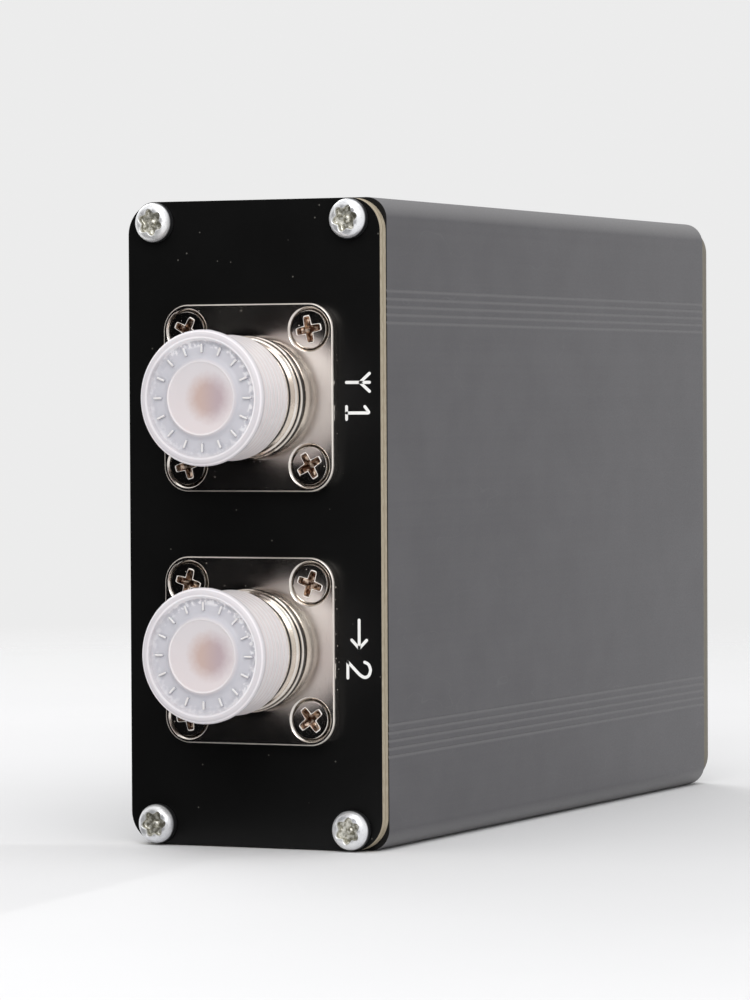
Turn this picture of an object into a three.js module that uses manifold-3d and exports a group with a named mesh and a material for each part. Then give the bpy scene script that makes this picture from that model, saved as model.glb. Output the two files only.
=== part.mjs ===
// Automatic antenna tuner in a split aluminium case, standing on one narrow side.
// Millimetres. x runs across the narrow width, y from the connector panel to the
// control panel, and z up from the face that the case stands on.
import * as THREE from 'three';
import { mergeVertices } from 'three/addons/utils/BufferGeometryUtils.js';
import Module from 'manifold-3d';

const wasm = await Module();
wasm.setup();

// Case: two like extrusions that meet on the plane x = 0.
const caseWidth = 38;
const caseHeight = 88;
const caseLength = 120;
const caseWall = 1.5;
const caseCornerRadius = 3;
const partingGap = 0.1;
const lapLength = 1.5;
const lapGap = 0.1;
const lapSkinShare = 0.5;

// Two bands of fine grooves along each wide face.
const grooveWidth = 0.5;
const grooveDepth = 0.3;
const groovePitch = 1.07;
const groovesPerBand = 5;
const grooveBandOffset = 29.2;

// Screw ports in the four corners of the case, and the screws of the end panels.
const screwInsetX = 4.4;
const screwInsetZ = 2.95;
const panelScrewRadius = 1.25;
const panelScrewLength = 8;
const panelHeadRadius = 2.72;
const panelHeadHeight = 2;
const lobeRadius = 1.35;
const lobeDepth = 1;
const portGap = 0.2;
const portWall = 1.15;
const portSlotWidth = 1.6;
const screwHoleGap = 0.3;

// End panels of circuit board material.
const panelThickness = 2;
const panelInset = 0.1;
const panelCornerRadius = 4.5;

// Coaxial sockets with a square flange, a 15.9 mm threaded barrel and a solder cup.
const socketSpacing = 34.2;
const flangeSide = 25.4;
const flangeThickness = 1.8;
const flangeCornerRadius = 3.6;
const flangeScrewSpacing = 18.3;
const flangeScrewRadius = 1.25;
const flangeScrewLength = 8;
const flangeHeadRadius = 2.75;
const flangeHeadSink = 0.05;
const countersinkGap = 0.25;
const crossHalfLength = 1.55;
const crossHalfWidth = 0.36;
const crossDepth = 0.9;
const threadRadius = 7.94;
const barrelLength = 12.5;
const barrelChamfer = 0.5;
const barrelBoreRadius = 6.4;
const collarStep = 0.26;
const collarFoot = 0.15;
const collarLength = 1.7;
const neckLength = 1.7;
const reliefLength = 0.4;
const reliefDepth = 0.3;
const hubRadius = 7.6;
const hubLength = 4;
const hubHoleGap = 0.3;
const rimNotchWidth = 1.2;
const rimNotchDepth = 0.7;
const insulatorGap = 0.3;
const insulatorColumnRadius = 4.8;
const insulatorColumnLength = 7;
const insulatorRecess = 0.6;
const insulatorTail = 1;
const contactRadius = 2.75;
const contactBoreRadius = 2;
const contactBoreDepth = 12;
const contactSlitWidth = 0.5;
const contactSlitLength = 5;
const contactProud = 0.2;
const contactGap = 0.25;
const cupRadius = 2.2;
const cupLength = 7;
const cupBoreRadius = 1.1;
const cupBoreDepth = 3.5;

// Soft dust caps pushed over the threads.
const capSkirtGap = 0.11;
const capSkirtWall = 0.4;
const capEndGap = 0.3;
const capSkirtStart = 5.1;
const capFloorThickness = 0.6;
const capRimHeight = 1;
const capDiscSink = 0.2;
const capRimWidth = 0.65;
const capLipProud = 0.55;
const capLipThickness = 1.15;
const capRingInset = 0.65;
const capRibCount = 16;
const capRibWidth = 0.35;
const capRibLength = 1.1;
const capRibHeight = 0.45;

// Main board, held edgeways in slots of the left case half.
const boardThickness = 1.6;
const boardOffset = 5;
const boardSideGap = 0.1;
const boardEdgeGap = 0.2;
const boardStart = 18;
const boardEndGap = 5;
const boardCornerLength = 14;
const boardCornerHeight = 18.8;
const slotRibThickness = 1.2;
const slotRibHeight = 2.2;
const leadRadius = 0.8;
const leadGap = 0.3;
const leadReach = 5;

// Switched network on the board: four rows of parts from the socket end to the control end.
const rowsFrontRoom = 8.5;
const rowsBackRoom = 2;
const relayLengthShare = 15.5 / 72.5;
const inductorRelayShare = 18 / 72.5;
const coilRowShare = 45.4 / 72.5;
const relayWidth = 10.5;
const relayHeight = 11.8;
const relayChamfer = 0.6;
const relaysPerRow = 5;
const rowEndGap = 8.05;
const toroidRadiusShare = 7.9 / 72.5;
const toroidWidth = 6.4;
const toroidHoleShare = 0.43;
const toroidRoundingShare = 0.18;
const toroidStepShare = 0.063;
const airCoilRadius = 4.2;
const airCoilWireRadius = 0.6;
const airCoilPitch = 1.9;
const airCoilTurns = 4;
const airCoilCount = 2;
const transformerEndInset = 0.75;
const transformerWidth = 13;
const transformerHeight = 7.5;
const transformerHoleRadius = 1.9;
const chipLength = 18;
const chipWidth = 7.5;
const chipHeight = 2.4;
const chipSetback = 5.5;

// Controls on the far panel. The window fills the height between the rocker and the lamp.
const rockerDrop = 12;
const rockerToWindow = 6.75;
const ledToWindow = 6.5;
const ledPanelHeight = 33.5;
const buttonPanelHeight = 25;
const jackPanelHeight = 11.5;

const windowWidth = 13;
const windowCornerRadius = 1;
const windowLedge = 2;
const windowThickness = 1;
const glassEndBorder = 1.35;
const glassWidth = 19.3;
const glassThickness = 1.4;
const displayBoardEndBorder = 0.35;
const displayBoardWidth = 27.8;
const displayBoardThickness = 1.2;
const headerLength = 10.2;
const headerHeight = 2.5;
const headerDepth = 3.2;

const buttonRadius = 3.4;
const buttonProud = 4.5;
const buttonRounding = 0.5;
const buttonTravel = 1.5;
const buttonHoleGap = 0.3;
const buttonCollarWidth = 0.7;
const buttonCollarThickness = 0.6;
const buttonStopGap = 0.2;
const stemWidth = 3.2;
const stemGap = 0.3;
const stemEngagement = 4;
const switchBodyLength = 13;

const bezelLength = 15;
const bezelWidth = 10.5;
const bezelThickness = 2;
const bezelCornerRadius = 1.2;
const rockerBodyLength = 13.4;
const rockerBodyWidth = 8.4;
const rockerBodyDepth = 10;
const rockerCutoutGap = 0.15;
const rockerCavityDepth = 7;
const rockerLength = 10.6;
const rockerThickness = 6;
const rockerSideGap = 0.3;
const rockerEndGap = 0.6;
const rockerPivotSink = 1.6;
const rockerEndProud = 1.4;
const rockerMidProud = 0.6;
const rockerSkirt = 0.8;
const rockerKeelDepth = 3.6;
const rockerKeelHalfWidth = 1.2;
const trunnionRadius = 0.8;
const trunnionGap = 0.2;
const trunnionLength = 0.7;
const rockerTilt = THREE.MathUtils.degToRad(10);

const jackThreadRadius = 5.4;
const jackFlangeRadius = 6.8;
const jackFlangeThickness = 1.5;
const jackBodyDepth = 12;
const jackBoreRadius = 3.15;
const jackBoreDepth = 10;
const jackPinRadius = 1.05;
const jackPinSink = 0.8;
const jackPinTail = 4;
const jackPinGap = 0.25;
const jackHoleGap = 0.3;
const jackNutFlats = 13;
const jackNutThickness = 2.2;
const jackNutGap = 0.25;

const ledRadius = 1.5;
const ledProud = 1.2;
const ledFlangeWidth = 0.4;
const ledFlangeThickness = 1;
const ledHoleGap = 0.3;
const ledStopGap = 0.2;
const ledLegSpacing = 2.54;
const ledLegWidth = 0.5;
const ledLegLength = 5.4;

// How far a cutting body runs past what it cuts.
const overrun = 1;

// Facets of round pieces.
const socketSides = 24;
const screwSides = 12;
const cornerSteps = 4;
const outlineCornerSteps = 8;
const wireSides = 6;
const leadSteps = 20;
const coilStepsPerTurn = 10;

// Places that follow from the sizes.
const halfWidth = caseWidth / 2;
const midHeight = caseHeight / 2;
const innerSide = halfWidth - caseWall;
const innerTop = caseHeight - caseWall;
const lapSkin = caseWall * lapSkinShare;
const portX = halfWidth - screwInsetX;
const portCoreRadius = panelScrewRadius + portGap;
const portRadius = portCoreRadius + portWall;
const panelHoleRadius = panelScrewRadius + screwHoleGap;
const connectorFace = -panelThickness;
const flangeFace = connectorFace - flangeThickness;
const controlInside = caseLength;
const controlFace = caseLength + panelThickness;
const antennaHeight = midHeight + socketSpacing / 2;
const transmitterHeight = midHeight - socketSpacing / 2;
const boardFace = -boardOffset + boardThickness / 2;
const boardBack = -boardOffset - boardThickness / 2;
const boardEnd = caseLength - boardEndGap;
const boardBottom = caseWall + boardEdgeGap;
const boardTop = caseHeight - boardBottom;
const neckEnd = boardEnd - boardCornerLength;
const rowsStart = boardStart + rowsFrontRoom;
const rowsEnd = neckEnd - rowsBackRoom;
const rowsLength = rowsEnd - rowsStart;
const relayLength = rowsLength * relayLengthShare;
const toroidRadius = rowsLength * toroidRadiusShare;
const relayPitch = (boardTop - boardBottom - relayWidth - 2 * rowEndGap) / (relaysPerRow - 1);
const rockerPanelHeight = caseHeight - rockerDrop;
const windowTop = rockerPanelHeight - bezelWidth / 2 - rockerToWindow;
const windowBottom = ledPanelHeight + ledToWindow;
const windowLength = windowTop - windowBottom;
const displayPanelHeight = (windowTop + windowBottom) / 2;
const glassLength = windowLength + 2 * glassEndBorder;
const displayBoardLength = glassLength + 2 * displayBoardEndBorder;
const cupEnd = connectorFace + hubLength + insulatorTail + cupLength;
const leadHoleY = boardStart + leadReach;

const aluminium = finish(0x69696b, 0.5, 0.75);
const panelBlack = finish(0x101012, 0.28, 0);
const zinc = finish(0xc4c6ca, 0.25, 1);
const nickel = finish(0xb9b4ae, 0.12, 1);
const milky = finish(0xdedbe2, 0.45, 0);
const insulatorWhite = finish(0xe9e4da, 0.5, 0);
const contactGold = finish(0xc89a5a, 0.3, 1);
const boardGreen = finish(0x14512f, 0.4, 0);
const relayBlack = finish(0x17181a, 0.45, 0);
const coreRed = finish(0x9a2d22, 0.6, 0);
const ferriteGrey = finish(0x3a3a3d, 0.7, 0);
const copper = finish(0xb5693a, 0.35, 1);
const plasticBlack = finish(0x151517, 0.4, 0);
const clearPlastic = finish(0x2a2f35, 0.08, 0);
const displayGlass = finish(0x0b0d12, 0.1, 0);
const wireRed = finish(0xa8231d, 0.45, 0);
const ledGreen = finish(0x5fc46a, 0.2, 0);

function finish(color, roughness, metalness) {
  return new THREE.MeshStandardMaterial({ color, roughness, metalness });
}

// Points of an arc in a flat outline, both ends included.
function arc(centreX, centreY, radius, startAngle, endAngle, steps) {
  return Array.from({ length: steps + 1 }, (_, i) => {
    const angle = startAngle + ((endAngle - startAngle) * i) / steps;
    return new THREE.Vector2(
      centreX + radius * Math.cos(angle),
      centreY + radius * Math.sin(angle),
    );
  });
}

function circle(centreX, centreY, radius, sides) {
  return arc(centreX, centreY, radius, 0, 2 * Math.PI, sides).slice(0, sides);
}

function rectangle(x0, x1, y0, y1) {
  return [[x0, y0], [x1, y0], [x1, y1], [x0, y1]].map(([x, y]) => new THREE.Vector2(x, y));
}

function roundedRectangle(x0, x1, y0, y1, radius, steps = cornerSteps) {
  const quarter = Math.PI / 2;
  return [
    ...arc(x1 - radius, y1 - radius, radius, 0, quarter, steps),
    ...arc(x0 + radius, y1 - radius, radius, quarter, 2 * quarter, steps),
    ...arc(x0 + radius, y0 + radius, radius, 2 * quarter, 3 * quarter, steps),
    ...arc(x1 - radius, y0 + radius, radius, 3 * quarter, 4 * quarter, steps),
  ];
}

// A flat outline with holes, carried along a length.
function prism(outline, length, holes = []) {
  const shape = new THREE.Shape(outline);
  shape.holes = holes.map((points) => new THREE.Path(points));
  return new THREE.ExtrudeGeometry(shape, { depth: length, bevelEnabled: false, steps: 1 });
}

// An outline in x and z, carried along y.
function prismAlongY(outline, y0, y1, holes = []) {
  return prism(outline, y1 - y0, holes).rotateX(Math.PI / 2).translate(0, y1, 0);
}

// An outline in y and z, carried along x.
function prismAlongX(outline, x0, x1, holes = []) {
  return prism(outline, x1 - x0, holes)
    .rotateX(Math.PI / 2)
    .rotateZ(Math.PI / 2)
    .translate(x0, 0, 0);
}

function block(x0, x1, y0, y1, z0, z1) {
  return new THREE.BoxGeometry(x1 - x0, y1 - y0, z1 - z0)
    .translate((x0 + x1) / 2, (y0 + y1) / 2, (z0 + z1) / 2);
}

// A profile of [radius, y] pairs turned about the y axis, walked so that it faces out.
function turned(profile, sides) {
  const points = profile.map(([radius, y]) => new THREE.Vector2(radius, y));
  const area = points.reduce((sum, point, i) => {
    const next = points[(i + 1) % points.length];
    return sum + point.x * next.y - next.x * point.y;
  }, 0);
  return new THREE.LatheGeometry(area < 0 ? points.reverse() : points, sides);
}

// A ring's profile closes on itself.
function ring(profile, sides) {
  return turned([...profile, profile[0]], sides);
}

// Shared vertices merged, and the flat triangles at a turned shape's poles dropped.
function closed(geometry) {
  const bare = new THREE.BufferGeometry();
  bare.setAttribute('position', geometry.getAttribute('position').clone());
  if (geometry.index) bare.setIndex(geometry.index.clone());
  const merged = mergeVertices(bare);
  const corners = [];
  const index = merged.index.array;
  for (let i = 0; i < index.length; i += 3) {
    const [a, b, c] = index.slice(i, i + 3);
    if (a !== b && b !== c && c !== a) corners.push(a, b, c);
  }
  merged.setIndex(corners);
  return merged;
}

function solid(geometry) {
  const merged = closed(geometry);
  return new wasm.Manifold(new wasm.Mesh({
    numProp: 3,
    vertProperties: new Float32Array(merged.attributes.position.array),
    triVerts: new Uint32Array(merged.index.array),
  }));
}

function joined(first, ...others) {
  return others.reduce((sum, other) => sum.add(solid(other)), solid(first));
}

function cut(body, ...cutters) {
  return cutters.reduce((rest, cutter) => rest.subtract(solid(cutter)), body);
}

function surface(body) {
  const mesh = body.getMesh();
  const geometry = new THREE.BufferGeometry();
  geometry.setAttribute('position', new THREE.BufferAttribute(mesh.vertProperties, 3));
  geometry.setIndex(new THREE.BufferAttribute(mesh.triVerts, 1));
  return geometry;
}

const tuner = new THREE.Group();
const assembly = new THREE.Group();
tuner.add(assembly);

function place(name, geometry, material) {
  const mesh = new THREE.Mesh(geometry, material);
  mesh.name = name;
  assembly.add(mesh);
  return mesh;
}

// Case halves

// The outer skin of the right half, with both groove bands in its wide face.
function halfSkinOutline() {
  const edge = partingGap / 2;
  const corner = caseCornerRadius;
  const grooves = [midHeight - grooveBandOffset, midHeight + grooveBandOffset].flatMap((band) =>
    Array.from({ length: groovesPerBand }, (_, i) => {
      const centre = band + (i - (groovesPerBand - 1) / 2) * groovePitch;
      return [
        new THREE.Vector2(halfWidth, centre - grooveWidth / 2),
        new THREE.Vector2(halfWidth - grooveDepth, centre - grooveWidth / 4),
        new THREE.Vector2(halfWidth - grooveDepth, centre + grooveWidth / 4),
        new THREE.Vector2(halfWidth, centre + grooveWidth / 2),
      ];
    }).flat());
  return [
    new THREE.Vector2(edge, caseHeight),
    new THREE.Vector2(edge, 0),
    ...arc(halfWidth - corner, corner, corner, -Math.PI / 2, 0, outlineCornerSteps),
    ...grooves,
    ...arc(halfWidth - corner, caseHeight - corner, corner, 0, Math.PI / 2, outlineCornerSteps),
  ];
}

function halfHollowOutline() {
  const radius = caseCornerRadius - caseWall;
  return [
    new THREE.Vector2(-overrun, innerTop),
    new THREE.Vector2(-overrun, caseWall),
    ...arc(innerSide - radius, caseWall + radius, radius, -Math.PI / 2, 0, cornerSteps),
    ...arc(innerSide - radius, innerTop - radius, radius, 0, Math.PI / 2, cornerSteps),
  ];
}

// One corner's screw port: a tube with webs to both walls, open towards the middle.
function screwPort(portZ, inward) {
  const root = caseWall / 2;
  const wallZ = portZ - inward * screwInsetZ;
  const rootZ = wallZ + inward * root;
  const [lowZ, highZ] = [Math.min(portZ, rootZ), Math.max(portZ, rootZ)];
  const [webLow, webHigh] = [Math.min(rootZ, portZ + inward * portRadius),
    Math.max(rootZ, portZ + inward * portRadius)];
  return [
    prismAlongY(circle(portX, portZ, portRadius, screwSides), 0, caseLength),
    block(portX - portRadius, portX, 0, caseLength, lowZ, highZ),
    block(portX, halfWidth - root, 0, caseLength, webLow, webHigh),
  ];
}

function portCutters(portZ, inward) {
  const reach = portRadius + overrun;
  const slot = block(-reach, 0, -overrun, caseLength + overrun, -portSlotWidth / 2, portSlotWidth / 2)
    .rotateY((inward * Math.PI) / 4)
    .translate(portX, 0, portZ);
  const core = circle(portX, portZ, portCoreRadius, screwSides);
  return [prismAlongY(core, -overrun, caseLength + overrun), slot];
}

// A pair of ribs that hold one edge of a board, on the bottom wall or the top one.
function slotRibs(atTop) {
  const gap = boardThickness / 2 + boardSideGap;
  const low = caseWall / 2;
  const high = caseWall + slotRibHeight;
  const [z0, z1] = atTop ? [caseHeight - high, caseHeight - low] : [low, high];
  return [
    block(boardOffset - gap - slotRibThickness, boardOffset - gap, 0, caseLength, z0, z1),
    block(boardOffset + gap, boardOffset + gap + slotRibThickness, 0, caseLength, z0, z1),
  ];
}

// The right half laps under the left one along the top, and over it along the bottom.
function caseHalf() {
  const upperPort = caseHeight - screwInsetZ;
  const hollow = prismAlongY(halfHollowOutline(), -overrun, caseLength + overrun);
  const shell = cut(solid(prismAlongY(halfSkinOutline(), 0, caseLength)), hollow);
  const tongueTop = caseHeight - lapSkin - lapGap;
  const tongue = block(-lapLength, lapLength, 0, caseLength, innerTop, tongueTop);
  const rebate = block(-overrun, lapLength + lapGap, -overrun, caseLength + overrun,
    lapSkin, caseWall + lapGap);
  const inner = [
    ...slotRibs(false),
    ...slotRibs(true),
    ...screwPort(screwInsetZ, 1),
    ...screwPort(upperPort, -1),
    tongue,
  ];
  const body = inner.reduce((sum, piece) => sum.add(solid(piece)), shell);
  return surface(cut(body, rebate, ...portCutters(screwInsetZ, 1), ...portCutters(upperPort, -1)));
}

const halfGeometry = caseHalf();
place('case_half_right', halfGeometry, aluminium);
place('case_half_left', halfGeometry.clone().rotateY(Math.PI).translate(0, 0, caseHeight), aluminium);

// End panels

const panelScrewPlaces = [
  [portX, caseHeight - screwInsetZ],
  [-portX, caseHeight - screwInsetZ],
  [portX, screwInsetZ],
  [-portX, screwInsetZ],
];

const flangeScrewOffsets = [[1, 1], [-1, 1], [1, -1], [-1, -1]]
  .map(([sideX, sideZ]) => [(sideX * flangeScrewSpacing) / 2, (sideZ * flangeScrewSpacing) / 2]);

function panelOutline() {
  return roundedRectangle(-halfWidth + panelInset, halfWidth - panelInset,
    panelInset, caseHeight - panelInset, panelCornerRadius, outlineCornerSteps);
}

function cornerHoles() {
  return panelScrewPlaces.map(([x, z]) => circle(x, z, panelHoleRadius, screwSides));
}

function socketHoles(height) {
  return [
    circle(0, height, hubRadius + hubHoleGap, socketSides),
    ...flangeScrewOffsets.map(([x, z]) =>
      circle(x, height + z, flangeScrewRadius + screwHoleGap, screwSides)),
  ];
}

function controlHoles() {
  const rockerX = rockerBodyLength / 2 + rockerCutoutGap;
  const rockerZ = rockerBodyWidth / 2 + rockerCutoutGap;
  return [
    rectangle(-rockerX, rockerX, rockerPanelHeight - rockerZ, rockerPanelHeight + rockerZ),
    roundedRectangle(-windowWidth / 2, windowWidth / 2, displayPanelHeight - windowLength / 2,
      displayPanelHeight + windowLength / 2, windowCornerRadius),
    circle(0, ledPanelHeight, ledRadius + ledHoleGap, screwSides),
    circle(0, buttonPanelHeight, buttonRadius + buttonHoleGap, socketSides),
    circle(0, jackPanelHeight, jackThreadRadius + jackHoleGap, socketSides),
  ];
}

place('connector_panel', prismAlongY(panelOutline(), connectorFace, 0,
  [...cornerHoles(), ...socketHoles(antennaHeight), ...socketHoles(transmitterHeight)]), panelBlack);
place('control_panel', prismAlongY(panelOutline(), controlInside, controlFace,
  [...cornerHoles(), ...controlHoles()]), panelBlack);

// A star of rounded points, as in a six-lobe recess.
function lobedOutline(lobes, radius, valleyShare) {
  return Array.from({ length: 2 * lobes }, (_, i) => {
    const angle = (i * Math.PI) / lobes;
    const reach = i % 2 ? radius * valleyShare : radius;
    return new THREE.Vector2(reach * Math.cos(angle), reach * Math.sin(angle));
  });
}

// Pan head screw on the y axis: its head stands off y = 0 towards -y.
function panelScrew() {
  const crownRadiusShares = [1, 0.9, 0.6];
  const crownHeightShares = [0.5, 0.82, 1];
  const valleyShare = 0.72;
  const tip = panelScrewRadius / 2;
  const body = solid(turned([
    [0, panelScrewLength],
    [tip, panelScrewLength],
    [panelScrewRadius, panelScrewLength - tip],
    [panelScrewRadius, 0],
    [panelHeadRadius, 0],
    ...crownRadiusShares.map((share, i) =>
      [panelHeadRadius * share, -panelHeadHeight * crownHeightShares[i]]),
    [0, -panelHeadHeight],
  ], screwSides));
  const recess = prismAlongY(lobedOutline(6, lobeRadius, valleyShare),
    -panelHeadHeight - overrun, -panelHeadHeight + lobeDepth);
  return surface(cut(body, recess));
}

const panelScrewGeometry = panelScrew();
const connectorScrewTurns = [12, 40, 25, 5];
const controlScrewTurns = [20, 50, 8, 33];

panelScrewPlaces.forEach(([x, z], i) => {
  const screw = place(`connector_panel_screw_${i + 1}`, panelScrewGeometry, zinc);
  screw.position.set(x, connectorFace, z);
  screw.rotation.y = THREE.MathUtils.degToRad(connectorScrewTurns[i]);
});

const turnedPanelScrewGeometry = panelScrewGeometry.clone().rotateZ(Math.PI);
panelScrewPlaces.forEach(([x, z], i) => {
  const screw = place(`control_panel_screw_${i + 1}`, turnedPanelScrewGeometry, zinc);
  screw.position.set(x, controlFace, z);
  screw.rotation.y = THREE.MathUtils.degToRad(controlScrewTurns[i]);
});

// Sockets: each is modelled with its axis on y and its flange face at y = 0.

const tipY = -barrelLength;
const panelSeatY = flangeThickness;
const hubEndY = panelSeatY + hubLength;
const neckRadius = threadRadius;
const collarRadius = threadRadius + collarStep;

function socketBody() {
  const neckStart = collarLength + collarStep;
  const reliefStart = neckStart + neckLength;
  const barrel = ring([
    [barrelBoreRadius, hubEndY],
    [barrelBoreRadius, tipY],
    [threadRadius - barrelChamfer, tipY],
    [threadRadius, tipY + barrelChamfer],
    [threadRadius, -reliefStart - reliefLength],
    [threadRadius - reliefDepth, -reliefStart - reliefLength / 2],
    [neckRadius, -reliefStart],
    [neckRadius, -neckStart],
    [collarRadius, -collarLength],
    [collarRadius, -2 * collarFoot],
    [collarRadius + collarFoot, 0],
    [collarRadius + collarFoot, flangeThickness / 2],
    [hubRadius, flangeThickness / 2],
    [hubRadius, hubEndY],
  ], socketSides);
  const side = flangeSide / 2;
  const plateHole = (barrelBoreRadius + hubRadius) / 2;
  const holeRadius = flangeScrewRadius + screwHoleGap;
  const plate = prismAlongY(roundedRectangle(-side, side, -side, side, flangeCornerRadius),
    0, flangeThickness, [circle(0, 0, plateHole, socketSides),
      ...flangeScrewOffsets.map(([x, z]) => circle(x, z, holeRadius, screwSides))]);
  const sinkRadius = flangeHeadRadius + countersinkGap;
  const countersinks = flangeScrewOffsets.map(([x, z]) => turned([
    [0, sinkRadius - holeRadius],
    [holeRadius, sinkRadius - holeRadius],
    [sinkRadius, 0],
    [sinkRadius, -overrun],
    [0, -overrun],
  ], screwSides).translate(x, 0, z));
  const reach = threadRadius + overrun;
  const half = rimNotchWidth / 2;
  const notches = [
    block(-reach, reach, tipY - overrun, tipY + rimNotchDepth, -half, half),
    block(-half, half, tipY - overrun, tipY + rimNotchDepth, -reach, reach),
  ];
  return surface(cut(joined(barrel, plate), ...countersinks, ...notches));
}

const insulatorFrontY = tipY + insulatorRecess;
const insulatorEndY = hubEndY + insulatorTail;
const shoulderY = hubEndY - insulatorTail;

function socketInsulator() {
  const outer = barrelBoreRadius - insulatorGap;
  const step = insulatorFrontY + insulatorColumnLength;
  return ring([
    [contactRadius + contactGap, insulatorFrontY],
    [insulatorColumnRadius, insulatorFrontY],
    [insulatorColumnRadius, step],
    [outer, step],
    [outer, insulatorEndY],
    [cupRadius + contactGap, insulatorEndY],
    [cupRadius + contactGap, shoulderY],
    [contactRadius + contactGap, shoulderY],
  ], socketSides);
}

function socketContact() {
  const front = insulatorFrontY - contactProud;
  const end = insulatorEndY + cupLength;
  const body = solid(turned([
    [0, front + contactBoreDepth],
    [contactBoreRadius, front + contactBoreDepth],
    [contactBoreRadius, front],
    [contactRadius, front],
    [contactRadius, shoulderY - contactGap],
    [cupRadius, shoulderY - contactGap],
    [cupRadius, end],
    [cupBoreRadius, end],
    [cupBoreRadius, end - cupBoreDepth],
    [0, end - cupBoreDepth],
  ], screwSides));
  const reach = contactRadius + overrun;
  const half = contactSlitWidth / 2;
  const slitEnd = front + contactSlitLength;
  return surface(cut(body,
    block(-reach, reach, front - overrun, slitEnd, -half, half),
    block(-half, half, front - overrun, slitEnd, -reach, reach)));
}

function dustCap() {
  const bore = threadRadius + capSkirtGap;
  const skirt = bore + capSkirtWall;
  const lip = skirt + capLipProud;
  const inside = tipY - capEndGap;
  const floor = inside - capFloorThickness;
  const front = floor - capRimHeight;
  const disc = front + capDiscSink;
  const rimInner = skirt - capRimWidth;
  const draft = capDiscSink;
  const body = solid(turned([
    [0, inside],
    [bore, inside],
    [bore, -capSkirtStart],
    [skirt, -capSkirtStart],
    [skirt, front + capLipThickness],
    [lip, front + capLipThickness - capDiscSink],
    [lip, front + capLipProud],
    [lip - capLipProud / 3, front + capLipProud / 3],
    [skirt, front],
    [rimInner, front],
    [rimInner - draft, floor],
    [insulatorColumnRadius + draft, floor],
    [insulatorColumnRadius, disc],
    [0, disc],
  ], socketSides));
  const ribOuter = rimInner - capRingInset;
  const ribs = Array.from({ length: capRibCount }, (_, i) =>
    block(ribOuter - capRibLength, ribOuter, floor - capRibHeight, floor + capFloorThickness / 2,
      -capRibWidth / 2, capRibWidth / 2).rotateY((2 * Math.PI * i) / capRibCount));
  return surface(ribs.reduce((sum, rib) => sum.add(solid(rib)), body));
}

// Countersunk screw on the y axis, with its flat head just under y = 0.
function flangeScrew() {
  const coneEnd = flangeHeadRadius - flangeScrewRadius;
  const rimEdge = flangeHeadSink + countersinkGap / 2;
  const body = solid(turned([
    [0, flangeScrewLength],
    [flangeScrewRadius, flangeScrewLength],
    [flangeScrewRadius, rimEdge + coneEnd],
    [flangeHeadRadius, rimEdge],
    [flangeHeadRadius, flangeHeadSink],
    [0, flangeHeadSink],
  ], screwSides));
  const [y0, y1] = [-overrun, flangeHeadSink + crossDepth];
  const [long, half] = [crossHalfLength, crossHalfWidth];
  return surface(cut(body, block(-long, long, y0, y1, -half, half), block(-half, half, y0, y1, -long, long)));
}

const socketBodyGeometry = socketBody();
const insulatorGeometry = socketInsulator();
const contactGeometry = socketContact();
const capGeometry = dustCap();
const flangeScrewGeometry = flangeScrew();
const flangeScrewTurns = { antenna: [20, 35, 62, 15], transmitter: [38, 55, 40, 10] };

// A wire from the solder cup, over the edge of the main board and down into its hole.
function lead(height) {
  const start = cupEnd - cupBoreDepth + leadGap;
  const alongShares = [0.45, 0.83, 0.98];
  const downShares = [0, 0.3, 0.8];
  const path = new THREE.CatmullRomCurve3([
    new THREE.Vector3(0, start, height),
    new THREE.Vector3(0, cupEnd, height),
    ...alongShares.map((share, i) => new THREE.Vector3(
      boardFace * downShares[i], cupEnd + (leadHoleY - cupEnd) * share, height)),
    new THREE.Vector3(boardFace, leadHoleY, height),
    new THREE.Vector3(boardBack, leadHoleY, height),
  ]);
  const section = new THREE.Shape(circle(0, 0, leadRadius, wireSides));
  return new THREE.ExtrudeGeometry(section, { extrudePath: path, steps: leadSteps, bevelEnabled: false });
}

for (const [side, height] of [['antenna', antennaHeight], ['transmitter', transmitterHeight]]) {
  const pieces = [
    [`${side}_socket_body`, socketBodyGeometry, nickel],
    [`${side}_socket_insulator`, insulatorGeometry, insulatorWhite],
    [`${side}_socket_contact`, contactGeometry, contactGold],
    [`${side}_dust_cap`, capGeometry, milky],
  ];
  for (const [name, geometry, material] of pieces) {
    place(name, geometry, material).position.set(0, flangeFace, height);
  }
  flangeScrewOffsets.forEach(([x, z], i) => {
    const screw = place(`${side}_flange_screw_${i + 1}`, flangeScrewGeometry, nickel);
    screw.position.set(x, flangeFace, height + z);
    screw.rotation.y = THREE.MathUtils.degToRad(flangeScrewTurns[side][i]);
  });
  place(`${side}_lead`, lead(height), wireRed);
}

// Main board and what stands on it

function mainBoard() {
  const outline = [
    [boardStart, boardBottom],
    [neckEnd, boardBottom],
    [neckEnd, boardBottom + boardCornerHeight],
    [boardEnd, boardBottom + boardCornerHeight],
    [boardEnd, boardTop - boardCornerHeight],
    [neckEnd, boardTop - boardCornerHeight],
    [neckEnd, boardTop],
    [boardStart, boardTop],
  ].map(([y, z]) => new THREE.Vector2(y, z));
  return prismAlongX(outline, boardBack, boardFace, [antennaHeight, transmitterHeight]
    .map((height) => circle(leadHoleY, height, leadRadius + leadGap, screwSides)));
}

place('main_board', mainBoard(), boardGreen);

function chamferedRectangle(y0, y1, z0, z1, chamfer) {
  return [
    [y0 + chamfer, z0], [y1 - chamfer, z0], [y1, z0 + chamfer], [y1, z1 - chamfer],
    [y1 - chamfer, z1], [y0 + chamfer, z1], [y0, z1 - chamfer], [y0, z0 + chamfer],
  ].map(([y, z]) => new THREE.Vector2(y, z));
}

function relay(startY, height) {
  const outline = chamferedRectangle(startY, startY + relayLength,
    height - relayWidth / 2, height + relayWidth / 2, relayChamfer);
  return prismAlongX(outline, boardFace, boardFace + relayHeight);
}

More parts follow.
